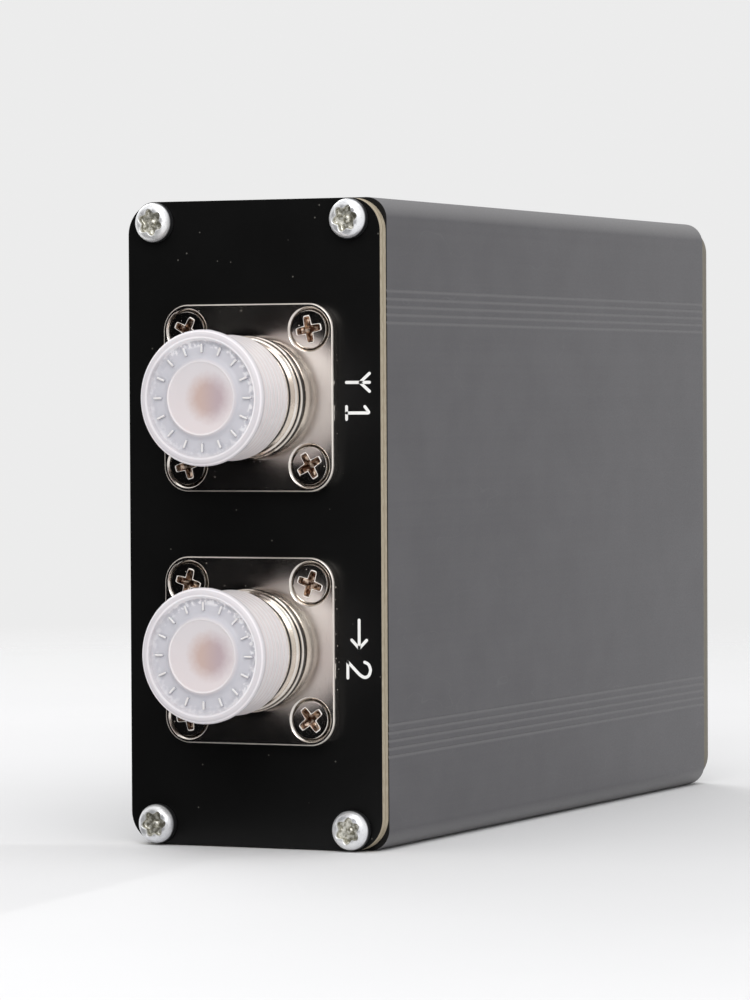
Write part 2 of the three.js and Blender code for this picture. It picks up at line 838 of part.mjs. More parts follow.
const rowHeights = Array.from({ length: relaysPerRow }, (_, i) =>
  midHeight + (i - (relaysPerRow - 1) / 2) * relayPitch);

rowHeights.forEach((height, i) => {
  place(`inductor_relay_${i + 1}`, relay(rowsStart + rowsLength * inductorRelayShare, height), relayBlack);
  place(`capacitor_relay_${i + 1}`, relay(rowsEnd - relayLength, height), relayBlack);
});
place('network_relay', relay(rowsStart, midHeight), relayBlack);

// A toroid coil standing on the board, its axis upright.
function toroidCoil(radius, centreY, height) {
  const half = toroidWidth / 2;
  const hole = toroidRadius * toroidHoleShare;
  const bend = toroidRadius * toroidRoundingShare;
  const section = [
    [radius - bend, -half], [radius, -half + bend], [radius, half - bend], [radius - bend, half],
    [hole + bend, half], [hole, half - bend], [hole, -half + bend], [hole + bend, -half],
  ];
  return ring(section, socketSides).rotateX(Math.PI / 2)
    .translate(boardFace + radius, centreY, height);
}

// An air coil: legs at both ends, and turns about an axis along y.
function airCoil(turns, centreY, height) {
  const radius = airCoilRadius;
  const axisX = boardFace + radius + 2 * airCoilWireRadius;
  const length = turns * airCoilPitch;
  const helix = Array.from({ length: turns * coilStepsPerTurn + 1 }, (_, i) => {
    const angle = Math.PI + (2 * Math.PI * i) / coilStepsPerTurn;
    return new THREE.Vector3(axisX + radius * Math.cos(angle),
      centreY - length / 2 + (airCoilPitch * i) / coilStepsPerTurn, height + radius * Math.sin(angle));
  });
  const foot = (end) => new THREE.Vector3(boardFace, end.y, end.z);
  const path = new THREE.CatmullRomCurve3([foot(helix[0]), ...helix, foot(helix.at(-1))]);
  const section = new THREE.Shape(circle(0, 0, airCoilWireRadius, wireSides));
  return new THREE.ExtrudeGeometry(section,
    { extrudePath: path, steps: turns * coilStepsPerTurn + 4, bevelEnabled: false });
}

const coilRowY = rowsStart + rowsLength * coilRowShare;
rowHeights.forEach((height, i) => {
  const isAir = i < airCoilCount;
  const toroid = toroidRadius * (1 - (relaysPerRow - 1 - i) * toroidStepShare);
  place(`inductor_${i + 1}`, isAir ? airCoil(airCoilTurns + i, coilRowY, height)
    : toroidCoil(toroid, coilRowY, height), isAir ? copper : coreRed);
});

function bridgeTransformer() {
  const start = rowsStart + transformerEndInset;
  const end = rowsStart + relayLength - transformerEndInset;
  const outline = roundedRectangle(boardFace, boardFace + transformerHeight,
    transmitterHeight - transformerWidth / 2, transmitterHeight + transformerWidth / 2,
    transformerHeight / 3);
  const middle = boardFace + transformerHeight / 2;
  const holes = [-1, 1].map((side) => circle(middle, transmitterHeight + (side * transformerWidth) / 4,
    transformerHoleRadius, screwSides));
  return prismAlongY(outline, start, end, holes);
}

place('bridge_transformer', bridgeTransformer(), ferriteGrey);

const chipEnd = boardEnd - chipSetback;
place('controller_chip', prismAlongX(
  chamferedRectangle(chipEnd - chipWidth, chipEnd, displayPanelHeight - chipLength / 2,
    displayPanelHeight + chipLength / 2, relayChamfer),
  boardFace, boardFace + chipHeight), relayBlack);

// Display

const windowBack = controlInside - windowThickness;
const glassBack = windowBack - glassThickness;
const displayBoardBack = glassBack - displayBoardThickness;

function centredBlock(widthX, y0, y1, lengthZ, height) {
  return block(-widthX / 2, widthX / 2, y0, y1, height - lengthZ / 2, height + lengthZ / 2);
}

place('display_window', centredBlock(windowWidth + 2 * windowLedge, windowBack, controlInside,
  windowLength + 2 * windowLedge, displayPanelHeight), clearPlastic);
place('display_glass', centredBlock(glassWidth, glassBack, windowBack, glassLength,
  displayPanelHeight), displayGlass);
place('display_board', surface(joined(
  centredBlock(displayBoardWidth, displayBoardBack, glassBack, displayBoardLength,
    displayPanelHeight),
  block(boardFace, boardFace + headerHeight, boardEnd - headerDepth,
    displayBoardBack + displayBoardThickness / 2,
    displayPanelHeight - headerLength / 2, displayPanelHeight + headerLength / 2),
)), boardGreen);

// Tune button and the switch behind it

const collarEnd = controlInside - buttonStopGap;
const collarStart = collarEnd - buttonCollarThickness;

function tuneButton() {
  const face = controlFace + buttonProud;
  const cap = turned([
    [0, collarStart],
    [buttonRadius + buttonCollarWidth, collarStart],
    [buttonRadius + buttonCollarWidth, collarEnd],
    [buttonRadius, collarEnd],
    [buttonRadius, face - buttonRounding],
    [buttonRadius - buttonRounding / 3, face - buttonRounding / 3],
    [buttonRadius - buttonRounding, face],
    [0, face],
  ], socketSides).translate(0, 0, buttonPanelHeight);
  const stem = centredBlock(stemWidth, boardEnd - stemEngagement, collarEnd, stemWidth,
    buttonPanelHeight);
  return surface(joined(cap, stem));
}

function tuneSwitch() {
  const outer = -2 * boardFace;
  const bore = stemWidth + 2 * stemGap;
  const boreEnd = boardEnd - stemEngagement - buttonTravel - stemGap;
  const body = solid(centredBlock(outer, boardEnd - switchBodyLength, boardEnd, outer, buttonPanelHeight));
  return surface(cut(body, centredBlock(bore, boreEnd, boardEnd + overrun, bore, buttonPanelHeight)));
}

place('tune_button', tuneButton(), plasticBlack);
place('tune_switch', tuneSwitch(), relayBlack);

// Power rocker, drawn at its pivot and resting on its lower end

const bezelFace = controlFace + bezelThickness;
const pivotY = bezelFace - rockerPivotSink;

function rockerSwitchFrame() {
  const cavityX = rockerLength / 2 + rockerEndGap;
  const cavityZ = rockerThickness / 2 + rockerSideGap;
  const bezel = prismAlongY(roundedRectangle(-bezelLength / 2, bezelLength / 2,
    rockerPanelHeight - bezelWidth / 2, rockerPanelHeight + bezelWidth / 2, bezelCornerRadius),
  controlFace, bezelFace);
  const body = centredBlock(rockerBodyLength, controlFace - rockerBodyDepth,
    controlFace + bezelThickness / 2, rockerBodyWidth, rockerPanelHeight);
  const cavity = centredBlock(2 * cavityX, controlFace - rockerCavityDepth, bezelFace + overrun,
    2 * cavityZ, rockerPanelHeight);
  const bearing = cavityZ + trunnionLength;
  const bearings = prism(circle(0, 0, trunnionRadius + trunnionGap, screwSides), 2 * bearing)
    .translate(0, pivotY, rockerPanelHeight - bearing);
  return surface(cut(joined(bezel, body), cavity, bearings));
}

function powerRocker() {
  const half = rockerLength / 2;
  const endY = rockerPivotSink + rockerEndProud;
  const midY = rockerPivotSink + rockerMidProud;
  const outline = [
    [-half, endY], [-half, -rockerSkirt], [-rockerKeelHalfWidth, -rockerKeelDepth],
    [rockerKeelHalfWidth, -rockerKeelDepth], [half, -rockerSkirt], [half, endY],
    [half / 2, midY + rockerMidProud / 4], [0, midY], [-half / 2, midY + rockerMidProud / 4],
  ].map(([x, y]) => new THREE.Vector2(x, y));
  const body = prism(outline, rockerThickness).translate(0, 0, -rockerThickness / 2);
  const pinHalf = rockerThickness / 2 + rockerSideGap + trunnionLength - trunnionGap;
  const pin = prism(circle(0, 0, trunnionRadius, screwSides), 2 * pinHalf).translate(0, 0, -pinHalf);
  return surface(joined(body, pin));
}

place('power_switch_frame', rockerSwitchFrame(), plasticBlack);
const rocker = place('power_rocker', powerRocker(), plasticBlack);
rocker.position.set(0, pivotY, rockerPanelHeight);
rocker.rotation.z = -rockerTilt;

// Supply jack

const jackFront = controlFace + jackFlangeThickness;
const jackBack = controlFace - jackBodyDepth;

function jackBody() {
  const bed = jackFront - jackBoreDepth;
  return ring([
    [jackBoreRadius, jackFront],
    [jackFlangeRadius, jackFront],
    [jackFlangeRadius, controlFace],
    [jackThreadRadius, controlFace],
    [jackThreadRadius, jackBack],
    [jackPinRadius + jackPinGap, jackBack],
    [jackPinRadius + jackPinGap, bed],
    [jackBoreRadius, bed],
  ], socketSides).translate(0, 0, jackPanelHeight);
}

function jackPin() {
  const tip = jackFront - jackPinSink;
  return turned([
    [0, tip],
    [jackPinRadius / 2, tip],
    [jackPinRadius, tip - jackPinRadius / 2],
    [jackPinRadius, jackBack - jackPinTail],
    [0, jackBack - jackPinTail],
  ], screwSides).translate(0, 0, jackPanelHeight);
}

function jackNut() {
  const cornerRadius = jackNutFlats / Math.sqrt(3);
  return prismAlongY(circle(0, jackPanelHeight, cornerRadius, 6), controlInside - jackNutThickness,
    controlInside, [circle(0, jackPanelHeight, jackThreadRadius + jackNutGap, socketSides)]);
}

place('dc_jack_body', jackBody(), plasticBlack);
place('dc_jack_pin', jackPin(), zinc);
place('dc_jack_nut', jackNut(), zinc);

// Status lamp, with its legs bent down to the board

function statusLed() {
  const seat = controlInside - ledStopGap;
  const dome = arc(0, 0, ledRadius, 0, Math.PI / 2, cornerSteps)
    .map((point) => [point.x, controlFace + ledProud - ledRadius + point.y]);
  const lens = turned([
    [0, seat - ledFlangeThickness],
    [ledRadius + ledFlangeWidth, seat - ledFlangeThickness],
    [ledRadius + ledFlangeWidth, seat],
    [ledRadius, seat],
    ...dome.slice(0, -1),
    [0, controlFace + ledProud],
  ], screwSides).translate(0, 0, ledPanelHeight);
  const half = ledLegWidth / 2;
  const bendY = seat - ledFlangeThickness - ledLegLength;
  const legs = [-1, 1].flatMap((side) => {
    const height = ledPanelHeight + (side * ledLegSpacing) / 2;
    return [
      block(-half, half, bendY, seat - ledFlangeThickness / 2, height - half, height + half),
      block(boardFace, half, bendY, bendY + ledLegWidth, height - half, height + half),
    ];
  });
  return surface(joined(lens, ...legs));
}

place('status_led', statusLed(), ledGreen);

// The origin goes under the middle of the whole object, on the plane that it stands on.
const bounds = new THREE.Box3().setFromObject(tuner);
assembly.position.y = -(bounds.min.y + bounds.max.y) / 2;

export default tuner;
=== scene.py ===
"""Looks of the automatic antenna tuner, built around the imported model.

Lengths are millimetres in the model's frame, x across the narrow width, y from the
connector panel to the control panel and z up, until new_mesh() writes them in metres.
"""
import math

import bmesh
import bpy
import numpy as np
from mathutils import Matrix, Vector
from mathutils.geometry import tessellate_polygon


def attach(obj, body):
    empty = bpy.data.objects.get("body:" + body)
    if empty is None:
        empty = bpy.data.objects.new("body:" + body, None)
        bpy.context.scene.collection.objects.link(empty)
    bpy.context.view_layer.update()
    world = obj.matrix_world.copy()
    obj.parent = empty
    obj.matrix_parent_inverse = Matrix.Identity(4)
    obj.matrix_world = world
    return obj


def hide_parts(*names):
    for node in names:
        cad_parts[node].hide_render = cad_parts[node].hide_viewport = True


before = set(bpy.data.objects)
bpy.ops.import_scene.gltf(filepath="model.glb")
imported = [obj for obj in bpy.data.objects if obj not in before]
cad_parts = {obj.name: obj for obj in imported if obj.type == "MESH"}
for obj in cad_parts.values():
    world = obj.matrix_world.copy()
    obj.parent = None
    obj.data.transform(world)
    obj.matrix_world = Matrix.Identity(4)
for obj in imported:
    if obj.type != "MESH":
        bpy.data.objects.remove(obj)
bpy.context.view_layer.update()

MM = 0.001
TURN = 2 * math.pi
QUARTER = math.pi / 2
WELD_DISTANCE = 1e-7
SCREW_PITCH, JACK_PITCH = 0.5, 0.75

# Places of the main parts along y, from the model
FLANGE_FACE = -57.95
PANEL_FACE = -56.15
CASE_START = -54.15
CASE_END = 65.85
CONTROL_FACE = 67.85

CASE_HEIGHT, MID_HEIGHT, HALF_WIDTH = 88.0, 44.0, 19.0
CASE_CORNER, PANEL_CORNER, PANEL_INSET = 3, 4.5, 0.1
GROOVE_REACH, GROOVE_PITCH, FACE_REACH = 29.2, 1.07, 36
PORT_X, PORT_DROP = 14.6, 2.95
FLANGE_HALF, FLANGE_CORNER = 12.7, 3.6
SOCKET_REACH = 17.1
THREAD_PITCH = 1.058
SOCKET_HEIGHTS = {"antenna": MID_HEIGHT + SOCKET_REACH, "transmitter": MID_HEIGHT - SOCKET_REACH}
PANEL_SCREW_PLACES = [(x, z) for z in (CASE_HEIGHT - PORT_DROP, PORT_DROP)
                      for x in (PORT_X, -PORT_X)]
FLANGE_SCREW_OFFSETS = [(x, z) for z in (9.15, -9.15) for x in (9.15, -9.15)]


# Surfaces. Each is a pair: an array of points, and an array of faces that index them.

def gridded(points, wrap_rows=False, wrap_columns=True):
    """A (rows, columns, 3) array of points as one surface of four-sided faces: point (i, j) joins
    (i, j+1), (i+1, j+1) and (i+1, j)."""
    rows, columns = points.shape[:2]
    i, j = np.meshgrid(np.arange(rows if wrap_rows else rows - 1),
                       np.arange(columns if wrap_columns else columns - 1), indexing="ij")
    i, i2, j2 = i * columns, (i + 1) % rows * columns, (j + 1) % columns
    return points.reshape(-1, 3), np.stack([i + j, i + j2, i2 + j2, i2 + j], -1).reshape(-1, 4)


def softened(points, reach, steps, closed=False):
    """A polyline whose corners become (1-s)^2 a + 2s(1-s) corner + s^2 b, a and b being
    reach away from the corner along its two edges."""
    points = np.asarray(points, float)
    reach = np.broadcast_to(np.asarray(reach, float), len(points))
    ahead = np.roll(points, -1, 0) - points
    length = np.maximum(np.linalg.norm(ahead, axis=1), 1e-9)
    behind, back_length = np.roll(ahead, 1, 0), np.roll(length, 1)
    after = points + ahead * (np.minimum(reach, 0.45 * length) / length)[:, None]
    before = points - behind * (np.minimum(reach, 0.45 * back_length) / back_length)[:, None]
    s = np.linspace(0, 1, steps + 1)[None, :, None]
    middle = 2 * s * (1 - s) * points[:, None]
    bent = (1 - s) ** 2 * before[:, None] + middle + s**2 * after[:, None]
    if not closed:
        bent[0], bent[-1] = points[0], points[-1]
    return bent.reshape(-1, 2)


def angles(sides):
    return TURN * np.arange(sides) / sides


def folded(angle):
    """The angle from the nearest of four directions a quarter turn apart."""
    return np.abs((angle + QUARTER / 2) % QUARTER - QUARTER / 2)


def turned(rows, sides, face=0.0, out=1, x=0.0, z=0.0, turn=0.0, closed=False):
    """Rows of (radius r, height h), each one number or one for every angle a, about an axis
    along y: point = (x + r cos a, face + out h, z + r sin a)."""
    radii, heights = (np.stack([np.broadcast_to(value, sides) for value in values])
                      for values in zip(*rows))
    angle = turn + angles(sides)
    points = [x + radii * np.cos(angle), face + out * heights, z + radii * np.sin(angle)]
    return [gridded(np.stack(points, -1), wrap_rows=closed)]


def tube(path, radius, hint, sides=10):
    """Circle carried along a path: point = centre + r (cos a u + sin a v), where u is square to
    the path and to the hint, v to u and the path, and r is 0 at both ends."""
    path = np.asarray(path, float)
    along = np.gradient(path, axis=0)
    along /= np.linalg.norm(along, axis=1, keepdims=True)
    u = np.cross(along, np.broadcast_to(hint, path.shape))
    u /= np.linalg.norm(u, axis=1, keepdims=True)
    v = np.cross(u, along)
    ends = [0, *range(len(path)), len(path) - 1]
    path, u, v = path[ends], u[ends], v[ends]
    r = np.broadcast_to(np.asarray(radius, float), len(path) - 2)
    r = np.concatenate([[0], r, [0]])[:, None, None]
    angle = angles(sides)[None, :, None]
    return gridded(path[:, None] + r * (np.cos(angle) * u[:, None] + np.sin(angle) * v[:, None]))


def arc(x, z, radius, start, end, steps):
    """Points of a flat arc from one angle to another, in turns."""
    angle = np.linspace(start * TURN, end * TURN, steps + 1)
    return np.stack([x + radius * np.cos(angle), z + radius * np.sin(angle)], -1)


def hole(x, z, radius, sides=48):
    """A circle walked clockwise, as the edge of a hole."""
    return arc(x, z, radius, 1, 0, sides)[:-1]


def rounded_box(x0, x1, z0, z1, radius, steps):
    """A rectangle with rounded corners, walked anticlockwise."""
    return np.concatenate([arc(x1 - radius, z1 - radius, radius, 0, 0.25, steps),
                           arc(x0 + radius, z1 - radius, radius, 0.25, 0.5, steps),
                           arc(x0 + radius, z0 + radius, radius, 0.5, 0.75, steps),
                           arc(x1 - radius, z0 + radius, radius, 0.75, 1, steps)])


def braced(loop, reach=0.25):
    """A loop with a point at reach from both ends of each long edge, where the shading of a
    rounded corner ends."""
    ahead = np.roll(loop, -1, 0) - loop
    length = np.linalg.norm(ahead, axis=1)
    share = (reach / np.maximum(length, 1e-9))[:, None]
    points = np.stack([loop, loop + ahead * share, loop + ahead * (1 - share)], 1)
    return points[np.stack([length >= 0, *[length > 4 * reach] * 2], 1)]


def into_material(loop):
    """For each point, the sum of its two edges' left normals over 1 + their cosine: a mitre."""
    ahead = np.roll(loop, -1, 0) - loop
    ahead /= np.maximum(np.linalg.norm(ahead, axis=1, keepdims=True), 1e-9)
    normal = np.stack([-ahead[:, 1], ahead[:, 0]], -1)
    other = np.roll(normal, 1, 0)
    return (normal + other) / np.maximum(1 + (normal * other).sum(1), 0.4)[:, None]


def wall(loop, low, high, edge, steps):
    """Rows of a loop from one end face to the other, where near each end the loop draws in by
    edge (1 - sin a) while the level moves by edge (1 - cos a)."""
    bend = np.linspace(0, QUARTER, steps + 1)
    inset, rise = edge * (1 - np.sin(bend)), edge * (1 - np.cos(bend))
    inset = np.concatenate([inset, inset[::-1]])[:, None, None]
    level = np.concatenate([low + rise, (high - rise)[::-1]])
    return loop[None] + inset * into_material(loop)[None], level


def sunk_hole(x, z, radii, levels):
    """Rows of a round hole whose radius changes from level to level."""
    return np.stack([hole(x, z, radius, 64) for radius in radii]), levels


ACROSS = {"y": (0, 2, 1), "x": (2, 0, 1), "z": (0, 1, 2)}


def filled(walls, axis="y"):
    """A body between walls: each wall is a grid, and both end faces are filled between loops."""
    order = list(ACROSS[axis])
    surfaces = []
    for rows, level in walls:
        levels = np.broadcast_to(level[:, None, None], (*rows.shape[:2], 1))
        surfaces.append(gridded(np.concatenate([rows, levels], -1)[..., order]))
    for end in (0, -1):
        loops = [np.concatenate([rows[end], np.full((rows.shape[1], 1), level[end])], -1)
                 for rows, level in walls]
        flat = [list(map(Vector, (loop * (1, 1, 0)).tolist())) for loop in loops]
        surfaces.append((np.concatenate(loops)[:, order], np.array(tessellate_polygon(flat))))
    return surfaces


def carried(loops, low, high, edge, axis="y", steps=3):
    """Flat outlines carried from one level to another, with rounded edges."""
    return filled([wall(braced(loop), low, high, edge, steps) for loop in loops], axis)


def stacked(rows, axis):
    """A closed body of loops with the same number of points, each at its own level, joined in
    order; the first and last are drawn together to the middle of the loop."""
    loops, levels = zip(*rows)
    loops = [loops[0] * 0 + loops[0].mean(0), *loops, loops[-1] * 0 + loops[-1].mean(0)]
    levels = np.array([levels[0], *levels, levels[-1]], float)[:, None, None]
    points = np.stack(loops)
    points = np.concatenate([points, np.broadcast_to(levels, (*points.shape[:2], 1))], -1)
    return [gridded(points[..., list(ACROSS[axis])])]


def moved(surfaces, x=0.0, y=0.0, z=0.0):
    return [(points + (x, y, z), faces) for points, faces in surfaces]


def spun(surfaces, count):
    """The same surfaces turned about the y axis, count times round."""
    made = []
    for angle in angles(count):
        c, s = math.cos(angle), math.sin(angle)
        turn = np.array([[c, 0, s], [0, 1, 0], [-s, 0, c]])
        made += [(points @ turn, faces) for points, faces in surfaces]
    return made


def laid_over(surfaces, x, y=0.0, z=0.0):
    """Surfaces about an axis along y, turned to stand about an axis along x, at a place."""
    return [(points[:, [1, 0, 2]] * (1, -1, 1) + (x, y, z), faces) for points, faces in surfaces]


def boxed(x, z, rows, axis="y", steps=6):
    """Rounded rectangles about one middle, joined in order. A row is half the width, half the
    height, the corners' radius and the level."""
    return stacked([(rounded_box(x - wide, x + wide, z - high, z + high, radius, steps), level)
                    for wide, high, radius, level in rows], axis)


def copies(surface, places):
    """One surface set down at many places, as one array."""
    points, faces = surface
    places = np.asarray(places, float)[:, None]
    starts = len(points) * np.arange(len(places))[:, None, None]
    return (points + places).reshape(-1, 3), (faces + starts).reshape(-1, faces.shape[1])


def sharpen_ends(mesh):
    """Sharp edges between a flat end face, whose triangles look along an axis, and its bend."""
    normals = np.empty(len(mesh.polygons) * 3, np.float32)
    sides = np.empty(len(mesh.polygons), np.int32)
    edges = np.empty(len(mesh.loops), np.int32)
    sharp = np.empty(len(mesh.edges), bool)
    mesh.polygons.foreach_get("normal", normals)
    mesh.polygons.foreach_get("loop_total", sides)
    mesh.loops.foreach_get("edge_index", edges)
    flat = (sides == 3) & (np.abs(normals.reshape(-1, 3)).max(1) > 0.9999)
    flats = np.bincount(edges, weights=np.repeat(flat, sides), minlength=len(mesh.edges))
    marks = (mesh.attributes.get("sharp_edge")
             or mesh.attributes.new("sharp_edge", "BOOLEAN", "EDGE"))
    marks.data.foreach_get("value", sharp)
    marks.data.foreach_set("value", sharp | (flats == 1))


def set_down(name, data):
    made = bpy.data.objects.new(name, data)
    bpy.context.scene.collection.objects.link(made)
    return made


def new_mesh(name, surfaces, material):
    mesh = bpy.data.meshes.new(name)
    starts = np.cumsum([0] + [len(points) for points, _ in surfaces])
    faces = [face for (_, part), start in zip(surfaces, starts) for face in (part + start).tolist()]
    mesh.from_pydata((np.concatenate([points for points, _ in surfaces]) * MM).tolist(), [], faces)
    mesh.materials.append(material)
    mesh.shade_smooth()
    return mesh


def piece(name, surfaces, finish, replaces=None, body="root", smooth=32.0):
    """One object at the origin, its doubled points merged and its faces turned outwards."""
    material, slot = finish
    mesh = new_mesh(name, surfaces, material)
    work = bmesh.new()
    work.from_mesh(mesh)
    bmesh.ops.remove_doubles(work, verts=work.verts, dist=WELD_DISTANCE)
    bmesh.ops.dissolve_degenerate(work, edges=work.edges, dist=WELD_DISTANCE)
    bmesh.ops.recalc_face_normals(work, faces=work.faces)
    work.to_mesh(mesh)
    work.free()
    mesh.set_sharp_from_angle(angle=math.radians(smooth))
    sharpen_ends(mesh)
    made = set_down(name, mesh)
    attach(made, body)
    if replaces:
        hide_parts(replaces)


# Node trees

class Signal:
    """What an output of a node gives. Its arithmetic adds Math nodes to the same tree."""

    def __init__(self, socket):
        self.socket, self.tree = socket, socket.id_data

    def __add__(self, other):
        return calc("ADD", self, other)

    def __sub__(self, other):
        return calc("SUBTRACT", self, other)

    def __rsub__(self, other):
        return calc("SUBTRACT", other, self)

    def __mul__(self, other):
        return calc("MULTIPLY", self, other)

    def __lt__(self, other):
        return calc("LESS_THAN", self, other)

    def __gt__(self, other):
        return calc("GREATER_THAN", self, other)

    def __abs__(self):
        return calc("ABSOLUTE", self)


def feed(node, values):
    """Inputs of a node linked to signals, or set to plain values."""
    for key, value in values.items():
        if isinstance(value, Signal):
            node.id_data.links.new(value.socket, node.inputs[key])
        else:
            node.inputs[key].default_value = value
    return node


def put(tree, kind, values, **settings):
    """A new node with its settings and inputs."""
    node = tree.nodes.new("ShaderNode" + kind)
    for key, value in settings.items():
        setattr(node, key, value)
    return feed(node, values or {})


def signal(tree, kind, values=None, output=0, **settings):
    return Signal(put(tree, kind, values, **settings).outputs[output])


def calc(operation, *values):
    tree = next(value.tree for value in values if isinstance(value, Signal))
    return signal(tree, "Math", dict(enumerate(values)), operation=operation)


def hypot(a, b):
    return calc("SQRT", a * a + b * b)


def between(value, low, high, to_low=0.0, to_high=1.0):
    """Value carried from the span low..high to another span, held at its ends."""
    return signal(value.tree, "MapRange", {"Value": value, "From Min": low, "From Max": high,
                                           "To Min": to_low, "To Max": to_high})


def colour(red, green, blue):
    """Linear colour of a screen colour given from 0 to 255."""
    share = np.array([red, green, blue]) / 255
    linear = np.where(share <= 0.04045, share / 12.92, ((share + 0.055) / 1.055) ** 2.4)
    return (*linear.tolist(), 1.0)


def layered(shade, *layers):
    """A shade with others laid over it in order, each given as (share, shade). A shade is a
    signal or a screen colour."""
    for share, over in layers:
        under, over = (colour(*tone) if isinstance(tone, tuple) else tone for tone in (shade, over))
        shade = signal(share.tree, "Mix", {0: share, 6: under, 7: over}, 2, data_type="RGBA")
    return shade


def noise(place, scale, detail):
    return signal(place.tree, "TexNoise", {"Vector": place, "Scale": scale, "Detail": detail})


def stretched(place, x, y, z):
    return signal(place.tree, "Mapping", {"Vector": place, "Scale": (x, y, z)})


def millimetres(place):
    axes = put(place.tree, "SeparateXYZ", {"Vector": place}).outputs
    return [Signal(axis) * (1 / MM) for axis in axes]


def new_group(name, inputs, outputs):
    """A group that reads a Vector and some numbers, and its output node, which gives numbers."""
    group = bpy.data.node_groups.new(name, "ShaderNodeTree")
    group.interface.new_socket("Vector", in_out="INPUT", socket_type="NodeSocketVector")
    for labels, way in [(inputs, "INPUT"), (outputs, "OUTPUT")]:
        for label in labels:
            group.interface.new_socket(label, in_out=way, socket_type="NodeSocketFloat")
    start, end = group.nodes.new("NodeGroupInput"), group.nodes.new("NodeGroupOutput")
    return [Signal(start.outputs[label]) for label in ("Vector", *inputs)], end


def grain_group():
    """Fine surface grain: noise of one size, and clouds forty times larger."""
    (place, scale), end = new_group("surface_grain", ["Scale"], ["Height", "Clouds"])
    clouds = between(noise(place, scale * 0.025, 4.0), 0.35, 0.65)
    return feed(end, {"Height": noise(place, scale, 3.0), "Clouds": clouds}).id_data


def speck_group():
    """Sparse specks in the middles of a Voronoi pattern's cells. A cell has one where its random
    red is below the share, and its green sets the size."""
    given, end = new_group("sparse_specks", ["Scale", "Size", "Share"], ["Mask"])
    place, scale, size, share = given
    cell = put(place.tree, "TexVoronoi", {"Vector": place, "Scale": scale}).outputs
    random = put(place.tree, "SeparateColor", {"Color": Signal(cell["Color"])}).outputs
    red, green = Signal(random[0]), Signal(random[1])
    return feed(end, {"Mask": (red < share) * (Signal(cell["Distance"]) < size * green)}).id_data


def wear_group():
    """Fine wandering marks, where a noise is within the width of its mean."""
    (place, scale, width), end = new_group("drawn_marks", ["Scale", "Width"], ["Mask"])
    return feed(end, {"Mask": abs(noise(place, scale, 2.0) - 0.5) < width}).id_data


GRAIN, SPECKS, MARKS = grain_group(), speck_group(), wear_group()


def grouped(group, place, **values):
    node = put(place.tree, "Group", {"Vector": place, **values}, node_tree=group)
    return [Signal(socket) for socket in node.outputs]


def new_finish(name, base, roughness, metallic=0.0, **sockets):
    """A material, its Principled shader and the object coordinates that its patterns read."""
    finish = bpy.data.materials.new(name)
    finish.use_nodes = True
    tree = finish.node_tree
    tree.nodes.clear()
    values = {"Base Color": colour(*base), "Roughness": roughness, "Metallic": metallic}
    values.update({key.replace("_", " "): value for key, value in sockets.items()})
    shader = put(tree, "BsdfPrincipled", values)
    put(tree, "OutputMaterial", {"Surface": Signal(shader.outputs[0])})
    return finish, shader, signal(tree, "TexCoord", output="Object")


def coat(shader, shade, gloss, height, depth):
    """A shader's colour, roughness and relief. A height from 0 to 1 is that depth in mm."""
    bump = {"Height": height, "Distance": depth * MM, "Strength": 1.0}
    feed(shader, {"Base Color": shade, "Roughness": gloss,
                  "Normal": signal(shader.id_data, "Bump", bump)})


def anodised_finish():
    """Matt grey anodised extrusion: bead-blast grain, faint die lines along y, grooves and long
    rounded corners painted paler as painted highlights, and black cut ends."""
    finish, shader, place = new_finish("case_anodised", (94, 93, 96), 0.52, 0.5)
    x, y, z = millimetres(place)
    fine, clouds = grouped(GRAIN, place, Scale=5200.0)
    lines = noise(stretched(place, 1, 0.004, 1), 1500.0, 3.0)
    scuffs, = grouped(MARKS, stretched(place, 1, 0.15, 0.6), Scale=200.0, Width=0.0012)
    from_side = HALF_WIDTH - abs(x)
    from_centre = abs(z - MID_HEIGHT)
    # painted highlights: the grooves on the wide face and the long rounded corners are painted
    # paler
    groove = between(from_side, 0.01, 0.05) * (from_centre < FACE_REACH)
    corner = between(from_centre - from_side, MID_HEIGHT - 2.7, MID_HEIGHT - 1.3)
    cut_end = abs(y - 0.5 * (CASE_START + CASE_END)) > 0.5 * (CASE_END - CASE_START) - 0.06
    # the groove and corner layers below are painted highlights
    shade = layered((91, 90, 93), (clouds, (95, 94, 97)),
                    (between(lines, 0.3, 0.7) * 0.1, (110, 110, 111)), (groove, (108, 107, 109)),
                    (corner, (130, 129, 130)), (scuffs * 0.06, (150, 150, 152)),
                    (cut_end, (13, 13, 13)))
    coat(shader, shade, between(fine, 0.3, 0.7, 0.46, 0.58), fine + lines * 0.25, 0.006)
    return finish


def panel_finish(name, front, back, dark_edge, light_edge):
    """Circuit board material, by depth y: black solder mask on both faces, and between them a
    tan laminate with a darker line along its middle."""
    finish, shader, place = new_finish(name, (14, 14, 14), 0.3, Specular_IOR_Level=0.2)
    depth = millimetres(place)[1]
    low, high, skin = min(front, back), max(front, back), 0.05
    masked = calc("MAXIMUM", depth < low + skin, depth > high - skin)
    fine, clouds = grouped(GRAIN, place, Scale=3000.0)
    dust, = grouped(SPECKS, place, Scale=1500.0, Size=0.22, Share=0.02)
    fibres = noise(stretched(place, 1, 12, 1), 900.0, 3.0)
    layer = noise(stretched(place, 0.02, 1, 0.02), 5500.0, 1.0)
    from_middle = abs(depth - 0.5 * (low + high))
    core = between(from_middle, 0.06, 0.2, 1, 0) * between(layer, 0.3, 0.6, 0.5, 1)
    black = layered((11, 11, 11), (clouds, (14, 14, 14)), (dust * 0.5, (110, 108, 102)))
    tan = layered(dark_edge, (between(fibres, 0.35, 0.65), light_edge),
                  (core * 0.55, (112, 100, 80)))
    coat(shader, layered(tan, (masked, black)), between(masked, 0, 1, 0.75, 0.34),
         layered(fibres, (masked, fine)), 0.006)
    return finish


